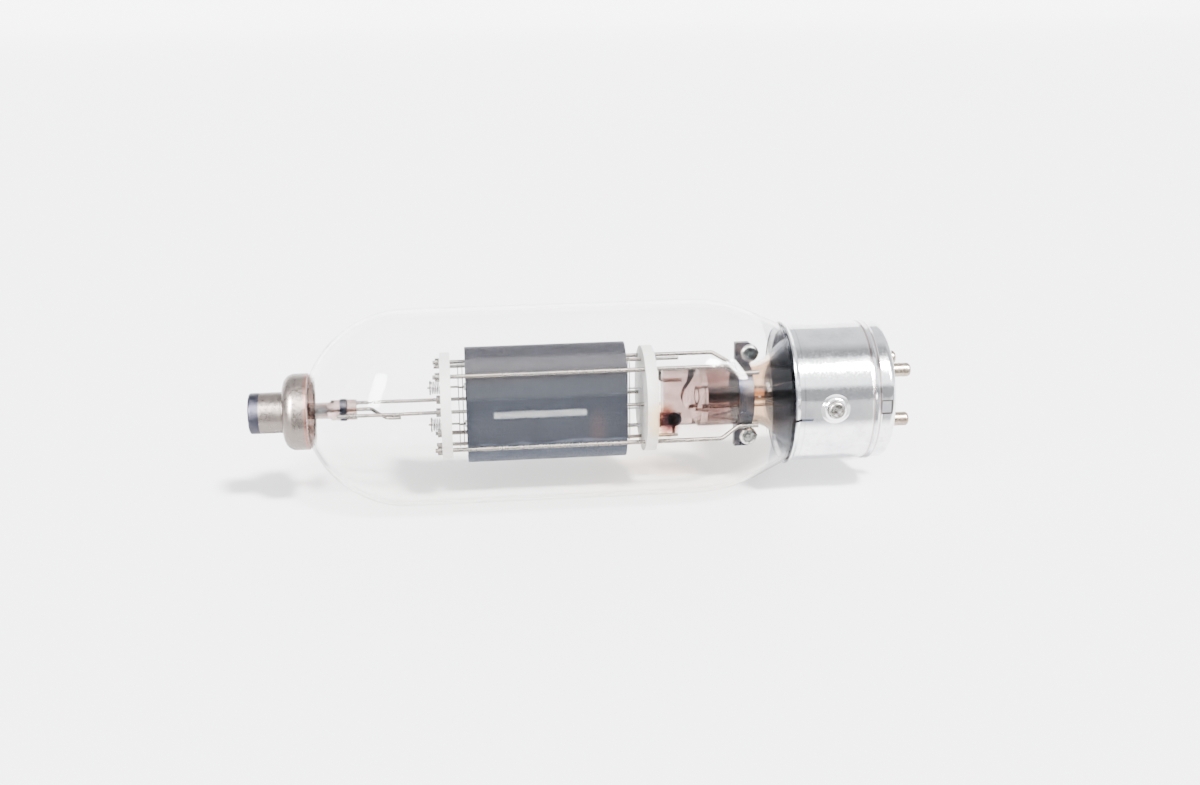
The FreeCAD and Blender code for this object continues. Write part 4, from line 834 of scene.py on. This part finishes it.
def make_floor():
    """Make the floor, which curves up into a backdrop far behind."""
    bpy.ops.object.select_all(action="DESELECT")
    bpy.ops.mesh.primitive_plane_add(size=1.0, location=(0, 0, 0))
    floor = bpy.context.active_object
    floor.name = "floor"
    front, back, half_width, rise = -7.0, 6.0, 8.0, 4.0
    for vertex in floor.data.vertices:
        vertex.co.x *= 2 * half_width
        vertex.co.y = front if vertex.co.y < 0 else back
    bpy.ops.object.mode_set(mode="EDIT")
    mesh = bmesh.from_edit_mesh(floor.data)
    for edge in mesh.edges:
        edge.select = all(vertex.co.y > 0 for vertex in edge.verts)
    mesh.select_flush_mode()
    bpy.ops.mesh.extrude_region_move(TRANSFORM_OT_translate={"value": (0, 0, rise)})
    mesh = bmesh.from_edit_mesh(floor.data)
    for edge in mesh.edges:
        edge.select = all(vertex.co.y > 0 and abs(vertex.co.z) < 1e-6 for vertex in edge.verts)
    mesh.select_flush_mode()
    bpy.ops.mesh.bevel(offset=1.0, segments=24)
    bpy.ops.object.mode_set(mode="OBJECT")
    bpy.ops.object.shade_smooth()
    finish = Finish("floor", settings().stage.floor_colour, roughness=0.6)
    finish.set("Specular IOR Level", 0.25)
    # Painted reflection: seen in reflections, the floor in front of the tube is dark.
    rays = finish.node("ShaderNodeLightPath")
    near_place = finish.span(finish.axis("Y"), -0.040, -0.065)
    painted_dark_reflection = finish.math("MULTIPLY", rays.outputs["Is Glossy Ray"], near_place)
    plain = settings().stage.floor_colour
    finish.feed("Base Color", finish.mix(painted_dark_reflection, plain, [level * 0.13 for level in plain]))
    floor.data.materials.append(finish.material)


def area_light(name, place, target, size, power, soft=True):
    """Make a rectangular light that faces a target; without soft it only shows in reflections."""
    data = bpy.data.lights.new(name, "AREA")
    data.shape = "RECTANGLE"
    data.size, data.size_y = size
    data.energy = power
    lamp = bpy.data.objects.new(name, data)
    bpy.context.scene.collection.objects.link(lamp)
    lamp.visible_diffuse = soft
    lamp.location = place
    lamp.rotation_euler = (Vector(target) - Vector(place)).to_track_quat("-Z", "Y").to_euler()
    return lamp


def sun_light(name, toward, width, strength):
    """Make a distant light in the direction toward, with an angular width."""
    data = bpy.data.lights.new(name, "SUN")
    data.angle = width
    data.energy = strength
    lamp = bpy.data.objects.new(name, data)
    bpy.context.scene.collection.objects.link(lamp)
    lamp.location = toward
    lamp.rotation_euler = Vector(toward).to_track_quat("Z", "Y").to_euler()
    return lamp


def make_lights():
    """Make the room light, a key light, a window, a side light and a small lamp."""
    stage = settings().stage
    make_room(stage.room_light)
    sun_light("key", (0.30, -0.56, 0.78), math.radians(9.0), stage.key_strength)
    area_light("window", (-0.42, -0.50, 0.42), (-0.06, 0, 0.035), (0.17, 0.46), stage.window_power, False)
    area_light("side", (0.55, -0.50, 0.58), (0.05, 0, 0.035), (0.12, 0.36), stage.side_power, False)
    area_light("lamp", (0.017, -0.62, 0.062), (0.017, 0, 0.04), (0.066, 0.075), stage.lamp_power, False)


def make_room(strength):
    """Light the scene from a room that is bright high up in front, grey overhead and pale behind."""
    world = bpy.data.worlds.new("room")
    bpy.context.scene.world = world
    world.use_nodes = True
    nodes, links = world.node_tree.nodes, world.node_tree.links
    coords = nodes.new("ShaderNodeTexCoord")
    split = nodes.new("ShaderNodeSeparateXYZ")
    links.new(coords.outputs["Generated"], split.inputs["Vector"])
    toward = nodes.new("ShaderNodeMath")
    toward.operation = "MULTIPLY"
    toward.inputs[1].default_value = -1.0
    links.new(split.outputs["Y"], toward.inputs[0])
    height = nodes.new("ShaderNodeMath")
    height.operation = "ARCTAN2"
    links.new(split.outputs["Z"], height.inputs[0])
    links.new(toward.outputs["Value"], height.inputs[1])
    share = nodes.new("ShaderNodeMath")
    share.operation = "DIVIDE"
    share.inputs[1].default_value = math.pi
    links.new(height.outputs["Value"], share.inputs[0])
    ramp = nodes.new("ShaderNodeValToRGB")
    stops = [(0.0, 0.16), (0.10, 0.16), (0.135, 0.95), (0.375, 1.0), (0.405, 0.15), (0.47, 0.15),
             (0.56, 0.42), (0.95, 0.50)]
    elements = ramp.color_ramp.elements
    while len(elements) < len(stops):
        elements.new(0.5)
    for element, (place, level) in zip(elements, stops):
        element.position = place
        element.color = (level * 0.965, level * 0.98, level, 1.0)
    links.new(share.outputs["Value"], ramp.inputs["Fac"])
    background = nodes["Background"]
    links.new(ramp.outputs["Color"], background.inputs["Color"])
    background.inputs["Strength"].default_value = strength * 9.0


def make_camera():
    """Make the camera that looks down at the tube's side."""
    stage = settings().stage
    data = bpy.data.cameras.new("camera")
    data.sensor_width = 36.0
    data.lens = stage.lens
    data.clip_start = 0.01
    data.clip_end = 20.0
    back = Vector((math.sin(stage.azimuth) * math.cos(stage.elevation),
                   -math.cos(stage.azimuth) * math.cos(stage.elevation), math.sin(stage.elevation)))
    turn = (-back).to_track_quat("-Z", "Y") @ Quaternion((0, 0, 1), stage.roll)
    aim = Vector((0.006, 0.0, AXIS_Z)) + turn @ Vector((0, 0.0024, 0))
    camera = bpy.data.objects.new("camera", data)
    bpy.context.scene.collection.objects.link(camera)
    camera.location = aim + back * stage.distance
    camera.rotation_mode = "QUATERNION"
    camera.rotation_quaternion = turn
    bpy.context.scene.camera = camera


OPERATORS = (TUBE_OT_bulb, TUBE_OT_stem, TUBE_OT_cap, TUBE_OT_anode, TUBE_OT_ceramics, TUBE_OT_wires,
             TUBE_OT_filaments, TUBE_OT_base, TUBE_OT_screws, TUBE_OT_boss, TUBE_OT_stage)


class TUBE_PT_panel(bpy.types.Panel):
    """Panel that lists the tube's operators and settings"""
    bl_idname = "TUBE_PT_panel"
    bl_label = "Triode"
    bl_space_type = "VIEW_3D"
    bl_region_type = "UI"
    bl_category = "Triode"

    def draw(self, context):
        layout = self.layout
        for operator in OPERATORS:
            layout.operator(operator.bl_idname)
        tube = context.scene.tube_settings
        for group in (tube.stage, tube.glass, tube.metal, tube.carbon):
            box = layout.box()
            for name in group.__annotations__:
                box.prop(group, name)


GROUPS = (TubeStageSettings, TubeGlassSettings, TubeMetalSettings, TubeCarbonSettings, TubeSettings)


def register():
    """Register the settings, the operators and the panel."""
    for item in (*GROUPS, *OPERATORS, TUBE_PT_panel):
        bpy.utils.register_class(item)
    bpy.types.Scene.tube_settings = PointerProperty(type=TubeSettings)


def unregister():
    """Remove what register added."""
    del bpy.types.Scene.tube_settings
    for item in reversed((*GROUPS, *OPERATORS, TUBE_PT_panel)):
        bpy.utils.unregister_class(item)


def main():
    """Build every piece in order."""
    register()
    for operator in OPERATORS:
        module, name = operator.bl_idname.split(".")
        getattr(getattr(bpy.ops, module), name)()


if __name__ == "__main__":
    main()
